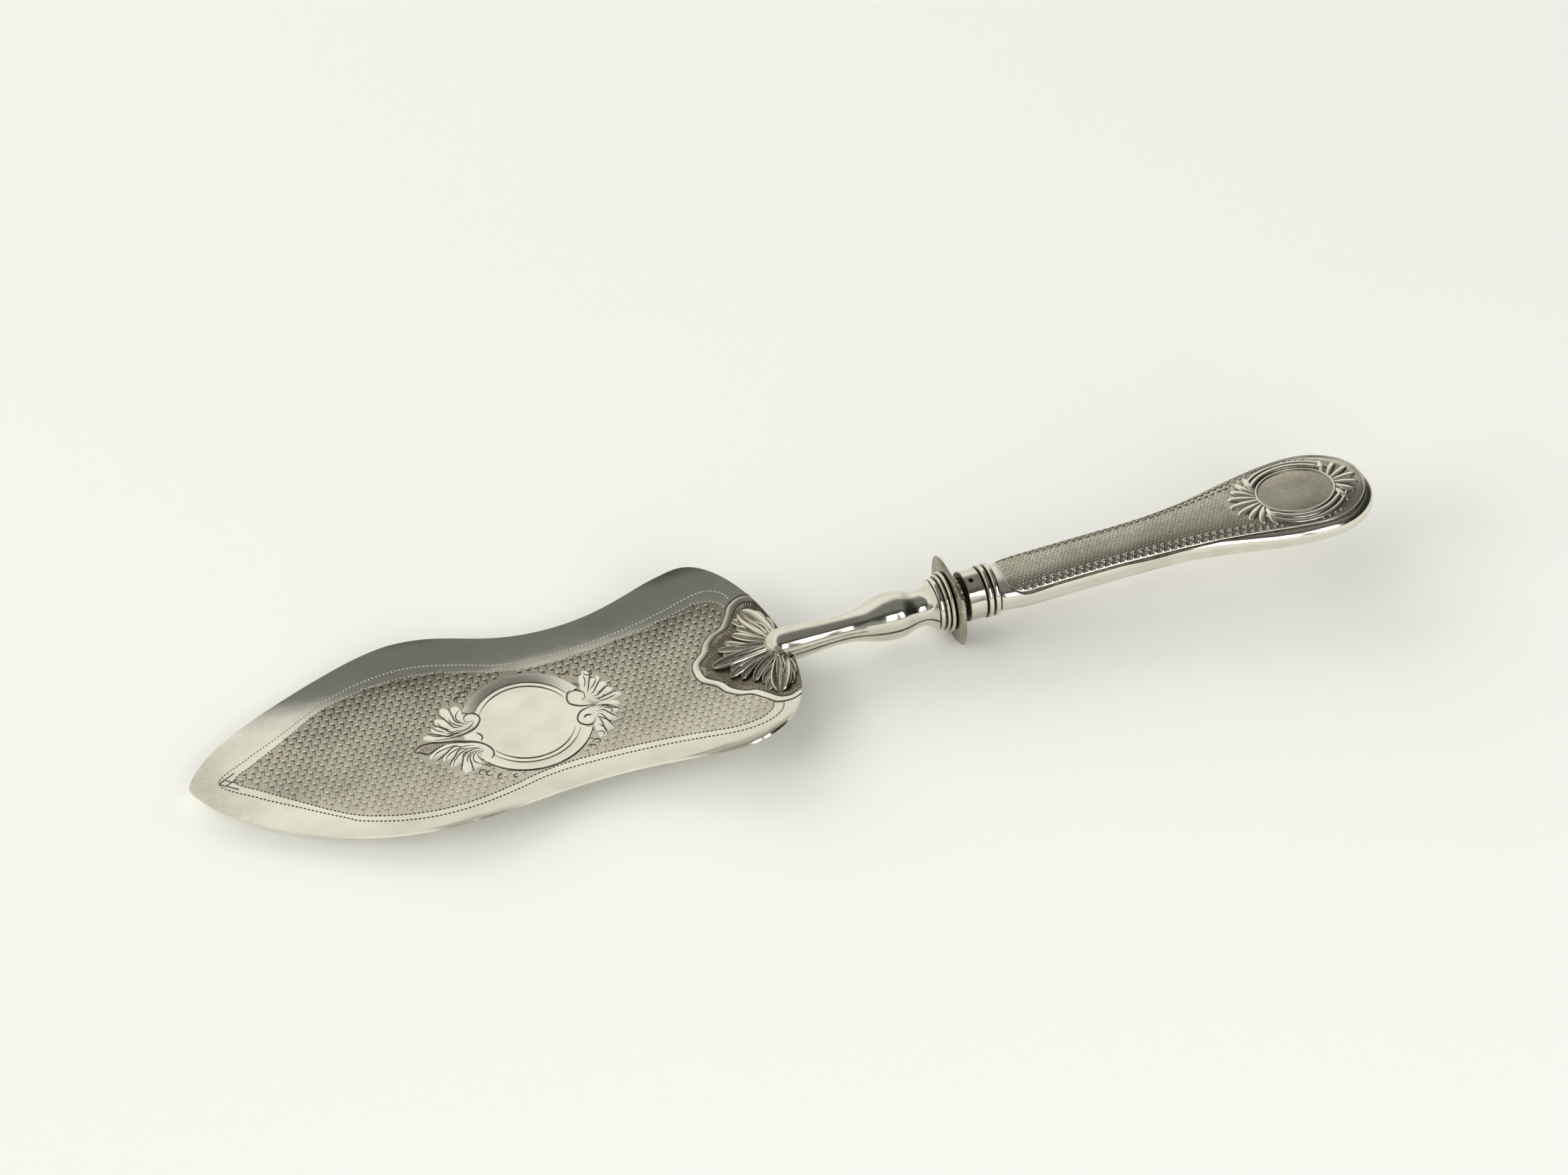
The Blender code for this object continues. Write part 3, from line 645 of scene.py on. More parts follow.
def make_silver_wear_and_shade():
    """Handled silver: bright where it is rubbed, brown-grey where cloth can't reach and where shade is painted in, with
    fine wiping marks.
    """
    group = bpy.data.node_groups.new("silver_wear_and_shade", "ShaderNodeTree")
    for name in ("TarnishAndShade", "Bloom", "Polish"):
        group.interface.new_socket(name=name, in_out="INPUT", socket_type="NodeSocketFloat")
    for name, kind in (("Colour", "NodeSocketColor"), ("Roughness", "NodeSocketFloat"), ("Height", "NodeSocketFloat")):
        group.interface.new_socket(name=name, in_out="OUTPUT", socket_type=kind)
    came = group.nodes.new("NodeGroupInput").outputs
    leaves = group.nodes.new("NodeGroupOutput").inputs
    spot = new_node(group, "TexCoord", {})["Object"]
    cloudy = noise(group, spot, scale=95.0, detail=5.0, roughness=0.62)
    grain = noise(group, spot, scale=900.0, detail=3.0)
    along_piece = new_node(group, "Mapping", {"Vector": spot, "Scale": WIPING_SCALE})["Vector"]
    wipes = noise(group, along_piece, scale=1.0, detail=3.0)
    swells = noise(group, spot, scale=150.0, detail=1.0)
    hazy = reckon(group, "MULTIPLY", ramp(group, cloudy, [(0.42, grey(0.0)), (0.74, grey(1.0))]), came["Bloom"])
    grained_darkening = reckon(group, "MULTIPLY", came["TarnishAndShade"], ramp(group, grain, [(0.25, grey(0.74)), (0.75, grey(1.0))]))
    dark = reckon(group, "ADD", grained_darkening, hazy)
    dull = reckon(group, "MULTIPLY", dark, TARNISH_DULLS)
    marks = reckon(group, "MULTIPLY", ramp(group, wipes, [(0.45, grey(0.0)), (0.8, grey(1.0))]), WIPING_DULLS)
    fine = reckon(group, "MULTIPLY", reckon(group, "ADD", grain, wipes), GRAIN_HEIGHT)
    group.links.new(ramp(group, dark, TARNISH_AND_SHADE_TONES), leaves["Colour"])
    group.links.new(reckon(group, "ADD", came["Polish"], reckon(group, "ADD", dull, marks)), leaves["Roughness"])
    group.links.new(reckon(group, "ADD", fine, reckon(group, "MULTIPLY", swells, SWELL_HEIGHT)), leaves["Height"])
    return group


SILVER_WEAR_AND_SHADE = make_silver_wear_and_shade()


def new_material(name):
    """A material with its node tree and the inputs of its shader."""
    material = bpy.data.materials.new(name)
    material.use_nodes = True
    return material, material.node_tree, material.node_tree.nodes["Principled BSDF"].inputs


def silver(name, polish, bloom, skin_strength):
    """Silver darkened by the piece's own layer, which holds tarnished hollows and painted shade."""
    material, tree, shader = new_material(name)
    shader["Metallic"].default_value = 1.0
    tarnish_and_shade = new_node(tree, "Attribute", {}, attribute_name="tarnish_and_shade")["Fac"]
    wear_and_shade = new_node(tree, "Group", {"TarnishAndShade": tarnish_and_shade, "Bloom": bloom, "Polish": polish}, node_tree=SILVER_WEAR_AND_SHADE)
    skin = new_node(tree, "Bump", {"Height": wear_and_shade["Height"], "Strength": skin_strength, "Distance": SKIN_DEPTH})
    for source, goal in ((wear_and_shade["Colour"], "Base Color"), (wear_and_shade["Roughness"], "Roughness"), (skin["Normal"], "Normal")):
        tree.links.new(source, shader[goal])
    return material


def speckled(name, dark, light, roughness, metallic, scale=420.0, detail=4.0):
    """A plain finish, mottled between two tones."""
    material, tree, shader = new_material(name)
    shader["Roughness"].default_value = roughness
    shader["Metallic"].default_value = metallic
    spot = new_node(tree, "TexCoord", {})["Object"]
    tree.links.new(ramp(tree, noise(tree, spot, scale, detail), [(0.3, dark), (0.7, light)]), shader["Base Color"])
    return material


POLISHED = silver("polished_silver", polish=0.08, bloom=0.16, skin_strength=0.08)
PLATE = silver("blade_silver", polish=0.10, bloom=0.11, skin_strength=0.10)
TURNED_FIELD = silver("engine_turned_silver", polish=0.17, bloom=0.10, skin_strength=0.14)
ENGRAVED = silver("engraved_silver", polish=0.14, bloom=0.08, skin_strength=0.10)
CAST = silver("cast_silver", polish=0.11, bloom=0.14, skin_strength=0.14)
STRUCK = silver("struck_silver", polish=0.12, bloom=0.14, skin_strength=0.12)
STEEL = speckled("tang_steel", (0.25, 0.25, 0.26), (0.45, 0.45, 0.46), roughness=0.5, metallic=1.0)
PITCH_CEMENT = speckled("pitch_cement", (0.05, 0.035, 0.025), (0.13, 0.09, 0.06), roughness=0.9, metallic=0.0)


def kept(piece, material, *nodes, slot="polished_silver"):
    """Finish a piece: its material and body, and the solids that it stands for; the slot is not used."""
    piece.data.materials.clear()
    piece.data.materials.append(material)
    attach(piece, "root")
    if nodes:
        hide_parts(*nodes)


# Blade: outlines of its engraving, in layout pitches

FIELD = [(-10.2, 0.0), (-7.6, 2.3), (-4.2, 4.9), (-0.6, 7.7), (2.0, 9.3), (5.5, 10.5), (9.0, 11.15), (11.7, 11.25),
         (14.8, 10.9), (18.6, 9.9), (21.7, 8.95), (25.0, 8.4), (30.0, 8.4), (35.5, 8.9), (40.0, 9.7), (44.0, 10.6),
         (46.6, 10.7), (48.2, 9.9), (48.9, 8.7)]
BORDER = [(-11.9, 0.0), (-8.3, 3.2), (-4.5, 5.8), (0.0, 9.0), (1.5, 10.1), (5.5, 11.6), (9.0, 12.3), (11.7, 12.4),
          (14.8, 12.0), (18.6, 11.0), (21.7, 10.0), (25.0, 9.5), (30.0, 9.5), (35.5, 10.0), (40.0, 10.8), (45.0, 11.9),
          (47.6, 11.8), (49.2, 10.7), (49.8, 9.4)]
BAND_OUTER = [(42.3, 0.0), (42.6, 1.6), (44.0, 3.0), (44.6, 4.2), (45.8, 5.4), (47.2, 6.0), (48.4, 7.5), (49.2, 8.9),
              (50.8, 9.5), (52.0, 9.1)]
BAND_INNER = [(43.2, 0.0), (43.5, 1.3), (44.9, 2.7), (45.6, 4.1), (46.8, 5.1), (48.1, 5.6), (49.1, 7.0), (50.0, 8.1),
              (50.9, 8.5), (51.9, 8.2)]
FIELD_LINE = smooth(both_sides(FIELD))
BORDER_LINE = smooth(both_sides(BORDER))
OUTER_LINE = smooth(both_sides(BAND_OUTER))
INNER_LINE = smooth(both_sides(BAND_INNER))
HEEL_AREA = np.vstack([OUTER_LINE, [(60.0, 9.2), (60.0, -9.2)]])
HEEL_GROUND = np.vstack([INNER_LINE, [(60.0, 8.2), (60.0, -8.2)]])
LEFT_LEAVES = np.array([(9.4, -0.9), (10.8, 0.9), (12.0, 2.2), (12.9, 3.5), (13.9, 5.2), (15.8, 5.2), (17.5, 3.0),
                        (17.6, -5.0), (15.8, -6.2), (14.3, -6.4), (12.9, -5.0), (12.3, -3.7), (10.8, -2.6)])
RIGHT_LEAVES = np.array([(33.9, 0.2), (33.0, 1.8), (32.7, 3.0), (32.1, 4.4), (30.9, 5.7), (28.0, 5.0), (28.0, -5.0),
                         (29.9, -6.2), (31.1, -5.4), (32.1, -4.1), (32.7, -2.8), (33.3, -1.4)])
LEAVES_CLEARANCE = 1.0192
OVAL = (22.6, -0.25)
OVAL_CLEARANCE = (7.62, 8.32)
OVAL_MIRROR = (7.4, 8.1)
OVAL_BAND = (6.72, 7.38)
OVAL_LINES = ((7.42, 8.10), (6.02, 6.66), (5.42, 6.0))

# How dark the blade's face is, bright (0) to black (1); a graded one as tone, rise, least and most, where the rise
# towards one side is painted shade
FIELD_TONE = (0.41, 0.010, 0.28, 0.54)
FLAKE_TONE = (0.0, 0.008, 0.0, 0.12)
CUT_TONE = (0.70, 0.028, 0.4, 1.0)
BORDER_TONE = (0.60, -0.12, 0.0, 0.9)
BAND_TONE = (0.0, 0.06, 0.0, 0.3)
# The tip's extra darkness is a painted dark reflection
TIP_TONE, RIM_TONE, TIP_TONE_SPAN = 0.20, 0.04, (-13.0, -8.0)
MIRROR_TONE = 0.02
HEEL_TONE = 0.80
UNDERSIDE_TONE = 0.06

# One pick of the turned field: part, size, sides, darkness (tarnish, and for the notch painted shade), turn in degrees
# and shift
PICK_PARTS = (("flake", (0.29, 0.15, 0.00002), 10, 0.0, 0.0, (0.0, 0.13)),
              ("notch", (0.27, 0.13, 0.00004), 10, 1.0, 0.0, (0.05, -0.14)),
              ("cut", (0.085, 0.42, 0.00002), 8, 0.80, 12.0, (0.11, -0.52)))
FIELD_START, FIELD_COLUMNS, FIELD_ROWS = (-12.0, -13 * ROW_STEP), 62, 14
BORDER_DASH, BORDER_DASH_STEP = (0.18, 0.085, 0.00016), 0.46
TIP_CUTS = [[(-11.9, 0.0), (-10.0, 1.35)], [(-11.9, 0.0), (-10.0, -1.35)], [(-11.3, -0.55), (-9.9, 0.35)],
            [(-11.3, 0.55), (-9.9, -0.35)]]


def in_cartouche(x, y):
    """Which places the oval frame and its leaves cover, with a little room around them."""
    found = in_oval(OVAL, OVAL_CLEARANCE, x, y)
    for leaves in (LEFT_LEAVES, RIGHT_LEAVES):
        middle = leaves.mean(0)
        found |= inside(middle + (leaves - middle) * LEAVES_CLEARANCE, x, y)
    return found


def make_blade():
    """The dished sheet, thinner towards its rim, with softened edges."""
    sheet, along, half, row, side = sheet_along("blade_sheet", blade_edge(40), step=0.0004, rows=240, columns=112)
    along = np.clip(along, END_FILING, BLADE_LENGTH - END_FILING)
    across = half[row] * side
    put_points(sheet, np.stack([TIP_X + along[row], across, blade_top(along[row], across)], -1))
    face_up(sheet, (0.0, 0.0, 1.0))
    thick = sheet.vertex_groups.new(name="thick")
    points = points_of(sheet)
    room = np.interp(points[:, 0] - TIP_X, along, half) - np.abs(points[:, 1])
    for k, share in enumerate(np.clip(room / RIM_TAPER, 0.0, 1.0)):
        thick.add([k], RIM_THINNING + (1.0 - RIM_THINNING) * share, "REPLACE")
    thicken(sheet, BLADE_THICKNESS, thick.name)
    soft = sheet.modifiers.new("rim", "BEVEL")
    soft.width = RIM_SOFTENING
    soft.segments = 3
    soft.harden_normals = True
    soft.limit_method = "ANGLE"
    soft.angle_limit = math.radians(55.0)
    apply_all(sheet)
    keep_tarnish_and_shade(sheet, blade_tarnish_and_shade(points_of(sheet)))
    kept(sheet, PLATE, "blade")


def blade_tarnish_and_shade(points):
    """The ground of the turned field and of the heel is dark; painted shade darkens the field towards the far side, and
    a painted dark reflection darkens the tip; rim, leaves and mirror are bright.
    """
    x, y = (points[:, 0] - LAYOUT_X) / PITCH, points[:, 1] / PITCH
    upper = points[:, 2] > blade_top(points[:, 0] - TIP_X, points[:, 1]) - BLADE_THICKNESS / 2
    tarnish_and_shade = np.where(inside(FIELD_LINE, x, y) & ~inside(HEEL_AREA, x, y),
                      graded(points, *FIELD_TONE), np.interp(x, TIP_TONE_SPAN, (TIP_TONE, RIM_TONE)))
    tarnish_and_shade = np.where(in_oval(OVAL, OVAL_MIRROR, x, y), MIRROR_TONE, tarnish_and_shade)
    tarnish_and_shade = np.where(inside(HEEL_GROUND, x, y), HEEL_TONE, tarnish_and_shade)
    return np.where(upper, tarnish_and_shade, UNDERSIDE_TONE)


def make_turned_field():
    """Staggered picks on a dull ground: a bright flake, the notch before it painted dark as shade, and a fine cut to
    the next row.
    """
    def keep(x, y):
        within = inside(FIELD_LINE, x - PICK_ROOM, y) & inside(FIELD_LINE, x + PICK_ROOM, y)
        within &= inside(FIELD_LINE, x, y - 2 * PICK_ROOM)
        return within & ~inside(HEEL_AREA, x + PICK_ROOM, y) & ~in_cartouche(x, y)
    parts = []
    for name, size, sides, darkness, turn, shift in PICK_PARTS:
        part = bump(name, size, sides, 4)
        keep_tarnish_and_shade(part, np.full(len(part.data.vertices), darkness))
        open_all(part)
        bpy.ops.transform.rotate(value=math.radians(turn), orient_axis="Z", center_override=(0.0, 0.0, 0.0))
        bpy.ops.transform.translate(value=(shift[0] * PITCH, shift[1] * PITCH, 0.0))
        close()
        parts.append(part)
    pick = one_piece("blade_turned_field", *parts)
    rows_over(pick, FIELD_START, FIELD_COLUMNS, FIELD_ROWS, 1.0, ROW_STEP, keep)
    tarnish_and_shade = np.empty(len(pick.data.vertices), np.float32)
    pick.data.attributes["tarnish_and_shade"].data.foreach_get("value", tarnish_and_shade)
    points = points_of(pick)
    # Painted shade: flakes, notches and cuts darker towards the far side
    keep_tarnish_and_shade(pick, np.where(tarnish_and_shade == 0.0, graded(points, *FLAKE_TONE), tarnish_and_shade * graded(points, *CUT_TONE)))
    kept(lay_on(pick, on_blade), TURNED_FIELD)


def make_borders():
    """Two lines of short cuts round the field, which cross at the tip; they are painted darker on the near side as
    shade.
    """
    parts = [row_along(bump("border_dash", BORDER_DASH, 8, 5), line, BORDER_DASH_STEP)
             for line in (BORDER_LINE, FIELD_LINE)]
    parts.append(relief("tip_cuts", [with_width(evenly(line, 0.2), 0.09) for line in TIP_CUTS], CUT, 0.6))
    lines = one_piece("blade_border_lines", *parts)
    # Painted shade: darker towards the near side
    keep_tarnish_and_shade(lines, graded(points_of(lines), *BORDER_TONE))
    kept(lay_on(lines, on_blade), ENGRAVED)


# Lobes as (root, [(bend, tip), ...]) and the graver's cuts over them
LEAF_FANS = [
    ((16.7, 1.2), [((13.6, 0.1), (11.0, 1.0)), ((14.1, 0.6), (12.2, 2.2)), ((14.5, 1.2), (13.0, 3.5)),
                   ((14.9, 2.1), (14.1, 5.1)), ((15.3, 2.9), (15.6, 5.0))]),
    ((16.6, -2.5), [((13.6, -1.2), (10.9, -2.6)), ((14.2, -1.8), (12.3, -3.6)), ((14.5, -2.5), (13.0, -4.9)),
                    ((14.9, -3.3), (14.3, -6.3)), ((15.4, -4.1), (15.6, -6.0))]),
    ((29.8, 1.0), [((31.5, 0.2), (33.8, 0.3)), ((31.4, 0.8), (33.0, 1.7)), ((31.1, 1.4), (32.6, 2.9)),
                   ((30.8, 2.1), (32.0, 4.3)), ((30.3, 2.9), (30.9, 5.6))]),
    ((29.8, -1.4), [((31.5, -0.6), (33.2, -1.4)), ((31.3, -1.2), (32.6, -2.7)), ((31.0, -1.9), (32.0, -4.0)),
                    ((30.6, -2.6), (31.0, -5.3)), ((30.2, -3.3), (29.9, -6.0))]),
]
LEAF_CUTS = [
    [(13.5, 1.0), (14.4, 0.6), (15.3, 0.36)], [(13.1, 3.0), (13.4, 2.1), (14.3, 1.2)],
    [(11.7, 1.3), (12.6, 0.75), (13.6, 0.5)], [(12.3, 2.5), (12.8, 1.7), (13.7, 1.05)],
    [(14.44, 3.3), (14.64, 2.3), (15.9, 1.24)], [(16.0, 4.3), (15.36, 3.5), (15.3, 2.7), (15.7, 2.0), (16.5, 1.7)],
    [(13.2, 0.4), (14.6, 0.6), (16.0, 0.9), (16.8, 1.5), (17.0, 1.96)],
    [(11.2, -2.5), (12.0, -1.8), (13.2, -1.44), (14.6, -1.24)],
    [(12.5, -3.5), (12.8, -2.8), (13.8, -2.1), (15.0, -1.8), (16.2, -2.0)],
    [(13.0, -4.64), (13.36, -3.8), (14.24, -2.84), (15.4, -2.3), (16.5, -2.44)],
    [(14.4, -3.64), (14.96, -2.94), (15.84, -2.56), (16.7, -2.76)],
    [(14.66, -4.64), (14.84, -3.8), (15.44, -3.1), (16.5, -2.9)],
    [(16.2, -5.4), (15.5, -4.6), (15.5, -3.8), (16.0, -3.2), (16.6, -3.0)],
    [(30.6, 4.9), (30.56, 3.8), (30.1, 2.76)], [(32.5, 2.2), (31.8, 1.64), (31.1, 1.3)],
    [(31.9, 3.9), (31.3, 2.9), (30.6, 2.2)], [(32.1, 0.96), (31.5, 0.5), (30.8, 0.2)],
    [(33.2, 0.4), (32.2, 0.1), (31.0, -0.04)], [(30.2, -0.64), (31.2, -0.68), (32.1, -1.1), (32.7, -1.7)],
    [(31.1, -1.3), (31.7, -1.4), (32.06, -1.96), (31.5, -2.44)], [(29.9, -3.56), (30.36, -4.2), (30.6, -5.1)],
    [(30.2, -2.2), (31.2, -3.4), (31.8, -4.0)],
]
SCROLL_CUTS = [
    [(12.1, 0.2), (14.0, 0.04), (15.6, 0.2), (16.8, 0.7), (17.6, 1.6), (17.8, 2.4), (17.4, 3.1), (16.7, 3.3),
     (16.1, 2.8), (16.2, 2.1), (16.9, 1.96)],
    [(13.3, -0.8), (14.6, -1.0), (16.4, -1.5), (17.4, -2.4), (17.84, -3.4), (17.7, -4.3), (17.1, -4.76), (16.4, -4.6),
     (16.04, -4.0), (16.16, -3.4), (16.9, -3.16)],
    [(12.0, -0.24), (14.0, -0.6), (16.0, -1.24), (17.0, -1.9)],
    [(16.8, 0.0), (17.24, -0.6), (17.24, -1.1), (16.96, -1.56)],
    [(30.6, -0.4), (29.9, -0.2), (28.8, 0.14), (27.9, 0.9), (27.84, 1.9), (28.3, 2.76), (29.2, 2.76), (29.84, 2.1),
     (29.76, 1.3), (29.3, 0.9)],
    [(30.2, -0.45), (29.7, -0.5), (28.7, -0.8), (28.06, -1.7), (28.1, -2.6), (28.8, -3.24), (29.6, -3.1),
     (29.94, -2.3)],
    [(28.7, -1.96), (29.16, -1.64), (29.76, -1.84)],
    [(9.5, -0.9), (10.2, -0.24), (11.3, -0.04), (13.0, -0.36), (14.0, -0.6)],
    [(9.5, -0.9), (10.2, -1.24), (11.0, -1.7), (12.0, -1.2), (13.2, -0.7)],
]
# Curls as centre, radius and heading; rows of short cuts as start, step, number, heading and length
CURLS = [(16.2, 6.0, 0.42, 20.0), (17.0, 6.6, 0.40, 0.0), (17.7, 7.2, 0.34, -20.0), (28.7, 6.3, 0.44, 190.0),
         (30.1, 5.5, 0.46, 160.0), (31.2, 5.1, 0.40, 150.0), (31.6, 4.4, 0.36, 130.0), (15.9, -6.6, 0.46, 40.0),
         (16.6, -7.0, 0.42, 60.0), (17.6, -8.0, 0.40, 60.0), (19.2, -8.4, 0.32, 80.0), (29.7, -5.2, 0.44, -60.0),
         (29.0, -6.2, 0.40, -50.0), (28.3, -6.9, 0.36, -40.0)]
CURL_SWEEP = 210.0
HATCHING = [((10.1, -1.25), (0.30, 0.02), 9, 62.0, 0.85), ((16.3, -5.3), (0.2, 0.02), 6, -50.0, 0.95),
            ((28.3, -3.5), (0.2, 0.02), 6, -100.0, 0.95), ((17.0, 4.2), (0.2, 0.02), 6, 75.0, 0.95),
            ((28.9, 3.2), (0.2, 0.02), 6, 120.0, 0.95)]
FRAME_ARCS = ((24.0, 151.0), (214.0, 333.0))


def tapered(line, half_width):
    """A graver's stroke: fine where it starts and leaves."""
    return with_width(smooth(line, 0.14), *(share * half_width for share in (0.35, 1.0, 1.0, 0.9, 0.3)))


def strokes(start, step, count, heading, length):
    """Short parallel cuts side by side."""
    turn = math.radians(heading)
    way = length * np.array([math.cos(turn), math.sin(turn)])
    feet = [np.array(start) + k * np.array(step) for k in range(count)]
    return [with_width(evenly(np.vstack([foot, foot + way]), 0.2), 0.05) for foot in feet]


def engraved(name, parts):
    """Join cut work and lay it on the blade."""
    work = lay_on(one_piece(name, *parts), on_blade)
    shade(work, 35.0)
    kept(work, ENGRAVED)


def make_cartouche():
    """A plain oval in a dished frame that ends in scrolls and acanthus, bright-cut."""
    frame_band, fine = [], []
    for start, end in FRAME_ARCS:
        frame_band.append(with_width(evenly(oval(OVAL, OVAL_BAND, start, end), 0.2), 0.70))
        for semi in OVAL_LINES:
            fine.append(tapered(evenly(oval(OVAL, semi, start, end), 0.5), 0.10))
    lobes = [petal(root, bend, tip, 0.70, 0.5) for root, leaf in LEAF_FANS for bend, tip in leaf]
    bold = [tapered(line, 0.09) for line in LEAF_CUTS]
    for root, leaf in LEAF_FANS:
        for (bend, tip), (next_bend, next_tip) in zip(leaf, leaf[1:]):
            middle, end = (np.array(bend) + next_bend) / 2, (np.array(tip) + next_tip) / 2
            bold.append(tapered([end, 0.5 * end + 0.5 * middle, middle, 0.55 * middle + 0.45 * np.array(root)], 0.11))
    fine += [tapered(line, 0.12) for line in SCROLL_CUTS]
    for x, y, radius, heading in CURLS:
        fine.append(tapered(oval((x, y), (radius, radius), heading, heading + CURL_SWEEP, 20), 0.09))
    for row in HATCHING:
        fine += strokes(*row)
    parts = [relief("oval_band", frame_band, INWARD, 0.19, (0.1, 0.0)), relief("leaf_lobes", lobes, FLAT, 0.035),
             relief("leaf_cuts", bold, CUT, 0.7, (1.0, 0.9)), relief("fine_cuts", fine, CUT, 0.7, (1.0, 0.85))]
    engraved("blade_cartouche", parts)


# Heel of the blade
BAND_HALF_WIDTH = 0.38
BAND_FOOT = 0.10
FRINGE_STEP = 0.30
FRINGE_START = 0.16
FRINGE_LENGTH, FRINGE_UNEVENNESS = 0.70, 0.10


def make_heel_band():
    """Scalloped plain band round the matted ground of the heel, fringed with short cuts."""
    middle = smooth((both_sides(BAND_OUTER) + both_sides(BAND_INNER)) / 2, 0.16)
    band = relief("plain_band", [with_width(middle, BAND_HALF_WIDTH)], FLAT, 0.14)
    points = points_of(band)
    foot = np.clip(1.0 - points[:, 2] / (BAND_FOOT * PITCH * BAND_HALF_WIDTH), 0.0, 0.9)
    # The band is painted darker towards the far side as shade; its foot is darkened as tarnish
    keep_tarnish_and_shade(band, np.maximum(foot, graded(points, *BAND_TONE)))
    edges = [with_width(evenly(line, 0.16), 0.09) for line in (OUTER_LINE, INNER_LINE)]
    spots = evenly(INNER_LINE, FRINGE_STEP)
    run = np.gradient(spots, axis=0)
    run /= np.linalg.norm(run, axis=1, keepdims=True)
    inward = np.stack([run[:, 1], -run[:, 0]], -1)
    length = FRINGE_LENGTH + FRINGE_UNEVENNESS * chance.standard_normal(len(spots))
    fringe = [with_width(evenly(np.vstack([spot + FRINGE_START * way, spot + reach * way]), 0.2), 0.085, 0.04)
              for spot, way, reach in zip(spots, inward, length)]
    parts = [band, relief("band_edges", edges, CUT, 0.8, (1.0, 0.85)), relief("fringe", fringe, ROUND, 1.2, (0.9, 0.0))]
    engraved("heel_band", parts)


# Palmette, far side: leaves as root, bend, tip and half width, then the folds over the largest
LEAVES = [((52.3, 0.0), (48.5, 0.0), (44.5, 0.0), 0.80), ((50.4, 0.3), (48.2, 0.7), (46.2, 1.4), 0.42),
          ((52.2, 0.5), (48.9, 1.1), (45.9, 2.4), 0.58), ((50.4, 1.0), (48.6, 1.8), (47.0, 3.3), 0.42),
          ((52.3, 0.8), (49.6, 2.6), (48.2, 4.2), 0.56), ((51.4, 2.4), (50.2, 3.9), (49.0, 5.0), 0.56),
          ((51.2, 3.6), (50.0, 5.0), (49.0, 6.4), 0.52), ((52.4, 1.8), (52.7, 3.5), (52.5, 5.2), 0.50),
          ((52.0, 3.6), (52.2, 5.0), (51.7, 6.6), 0.50), ((52.6, 1.2), (51.4, 4.2), (50.2, 7.3), 1.15)]
FOLDS = [[(51.6, 2.2), (51.0, 3.8), (50.5, 5.0), (50.5, 6.0)], [(52.2, 2.2), (52.0, 3.8), (51.2, 5.0), (50.8, 6.1)],
         [(51.9, 2.2), (51.5, 3.8), (50.8, 5.2), (50.3, 6.8)], [(51.0, 0.25), (49.0, 0.30), (46.8, 0.42)]]
PALMETTE_ROOT = (51.2, 0.0)
PALMETTE_REACH = 7.6
PALMETTE_DOME = 0.0012
LEAF_WIDENING = 1.12
FOLD_WIDTHS = (0.18, 0.16, 0.14, 0.06)


def make_palmette():
    """Cast acanthus fan: blunt hollow leaves with bright turned-up rims, rising towards the stem."""
    folds = [with_width(smooth(side, 0.12), *FOLD_WIDTHS) for line in FOLDS for side in mirrored(line)]
    parts = [relief("leaf", [leaf], SPOON, 0.54, (1.2, -0.2)) for leaf in fan(LEAVES, LEAF_WIDENING, 0.40, 0.42)]
    work = one_piece("palmette", *parts, relief("folds", folds, ROUND, 2.4, (0.8, 0.0)))
    flat = points_of(work)
    reach = np.hypot(flat[:, 0] / PITCH - PALMETTE_ROOT[0], flat[:, 1] / PITCH - PALMETTE_ROOT[1])
    flat[:, 2] += np.where(flat[:, 2] > 0.0, PALMETTE_DOME * np.clip(1.0 - reach / PALMETTE_REACH, 0.0, 1.0), 0.0)
    put_points(work, flat)
    kept(lay_on(work, on_blade), CAST, "leaf_mount", slot="cast_silver")


# Turned pieces, modelled along X and then set on the sloping axis


def set_on_axis(piece):
    piece.location = AXIS_POINT
    piece.rotation_euler = (0.0, -AXIS_SLOPE, 0.0)
    alone(piece)
    bpy.ops.object.transform_apply(location=True, rotation=True, scale=True)
    return piece


def turned(name, outline, steps=96):
    """An outline of (along, radius) points, drawn from one point and spun round the axis."""
    piece = added(name, bpy.ops.mesh.primitive_plane_add, size=0.001)
    open_all(piece)
    bpy.ops.mesh.merge(type="CENTER")
    bpy.ops.transform.translate(value=(outline[0][0], 0.0, outline[0][1]))
    for (along, radius), (next_along, next_radius) in zip(outline, outline[1:]):
        shift = (next_along - along, 0.0, next_radius - radius)
        bpy.ops.mesh.extrude_vertices_move(TRANSFORM_OT_translate={"value": shift})
    bpy.ops.mesh.select_all(action="SELECT")
    bpy.ops.mesh.spin(steps=steps, angle=math.tau, center=(0.0, 0.0, 0.0), axis=(1.0, 0.0, 0.0))
    close()
    clean(piece, 0.000002)
    return piece


def ring(name, bore, profile, steps=96):
    """A turned ring of one outer profile, bored through."""
    front, back = profile[0][0], profile[-1][0]
    return turned(name, [(front, bore), *profile, (back, bore), (front, bore)], steps)


GROOVE_TARNISH = 0.85


def tarnish_in(piece, grooves, width, ground=0.02):
    """Tarnish that gathers in grooves at the given places along the axis."""
    along = points_of(piece)[:, 0]
    found = sum(np.exp(-((along - groove) / width) ** 2) for groove in grooves)
    keep_tarnish_and_shade(piece, np.clip(ground + GROOVE_TARNISH * found, 0.0, 1.0))


def set_in_place(piece, node, degrees):
    """Shade a polished piece and set it on the axis in the place of its solid."""
    shade(piece, degrees)
    kept(set_on_axis(piece), POLISHED, node)


def moulding(front, back, foot, crown, steps=12):
    """A half-round moulding as (along, radius) points from front to back."""
    t = np.linspace(0.0, math.pi, steps + 1)
    return list(zip(front + (back - front) * (1 - np.cos(t)) / 2, foot + (crown - foot) * np.sin(t) ** 0.8))


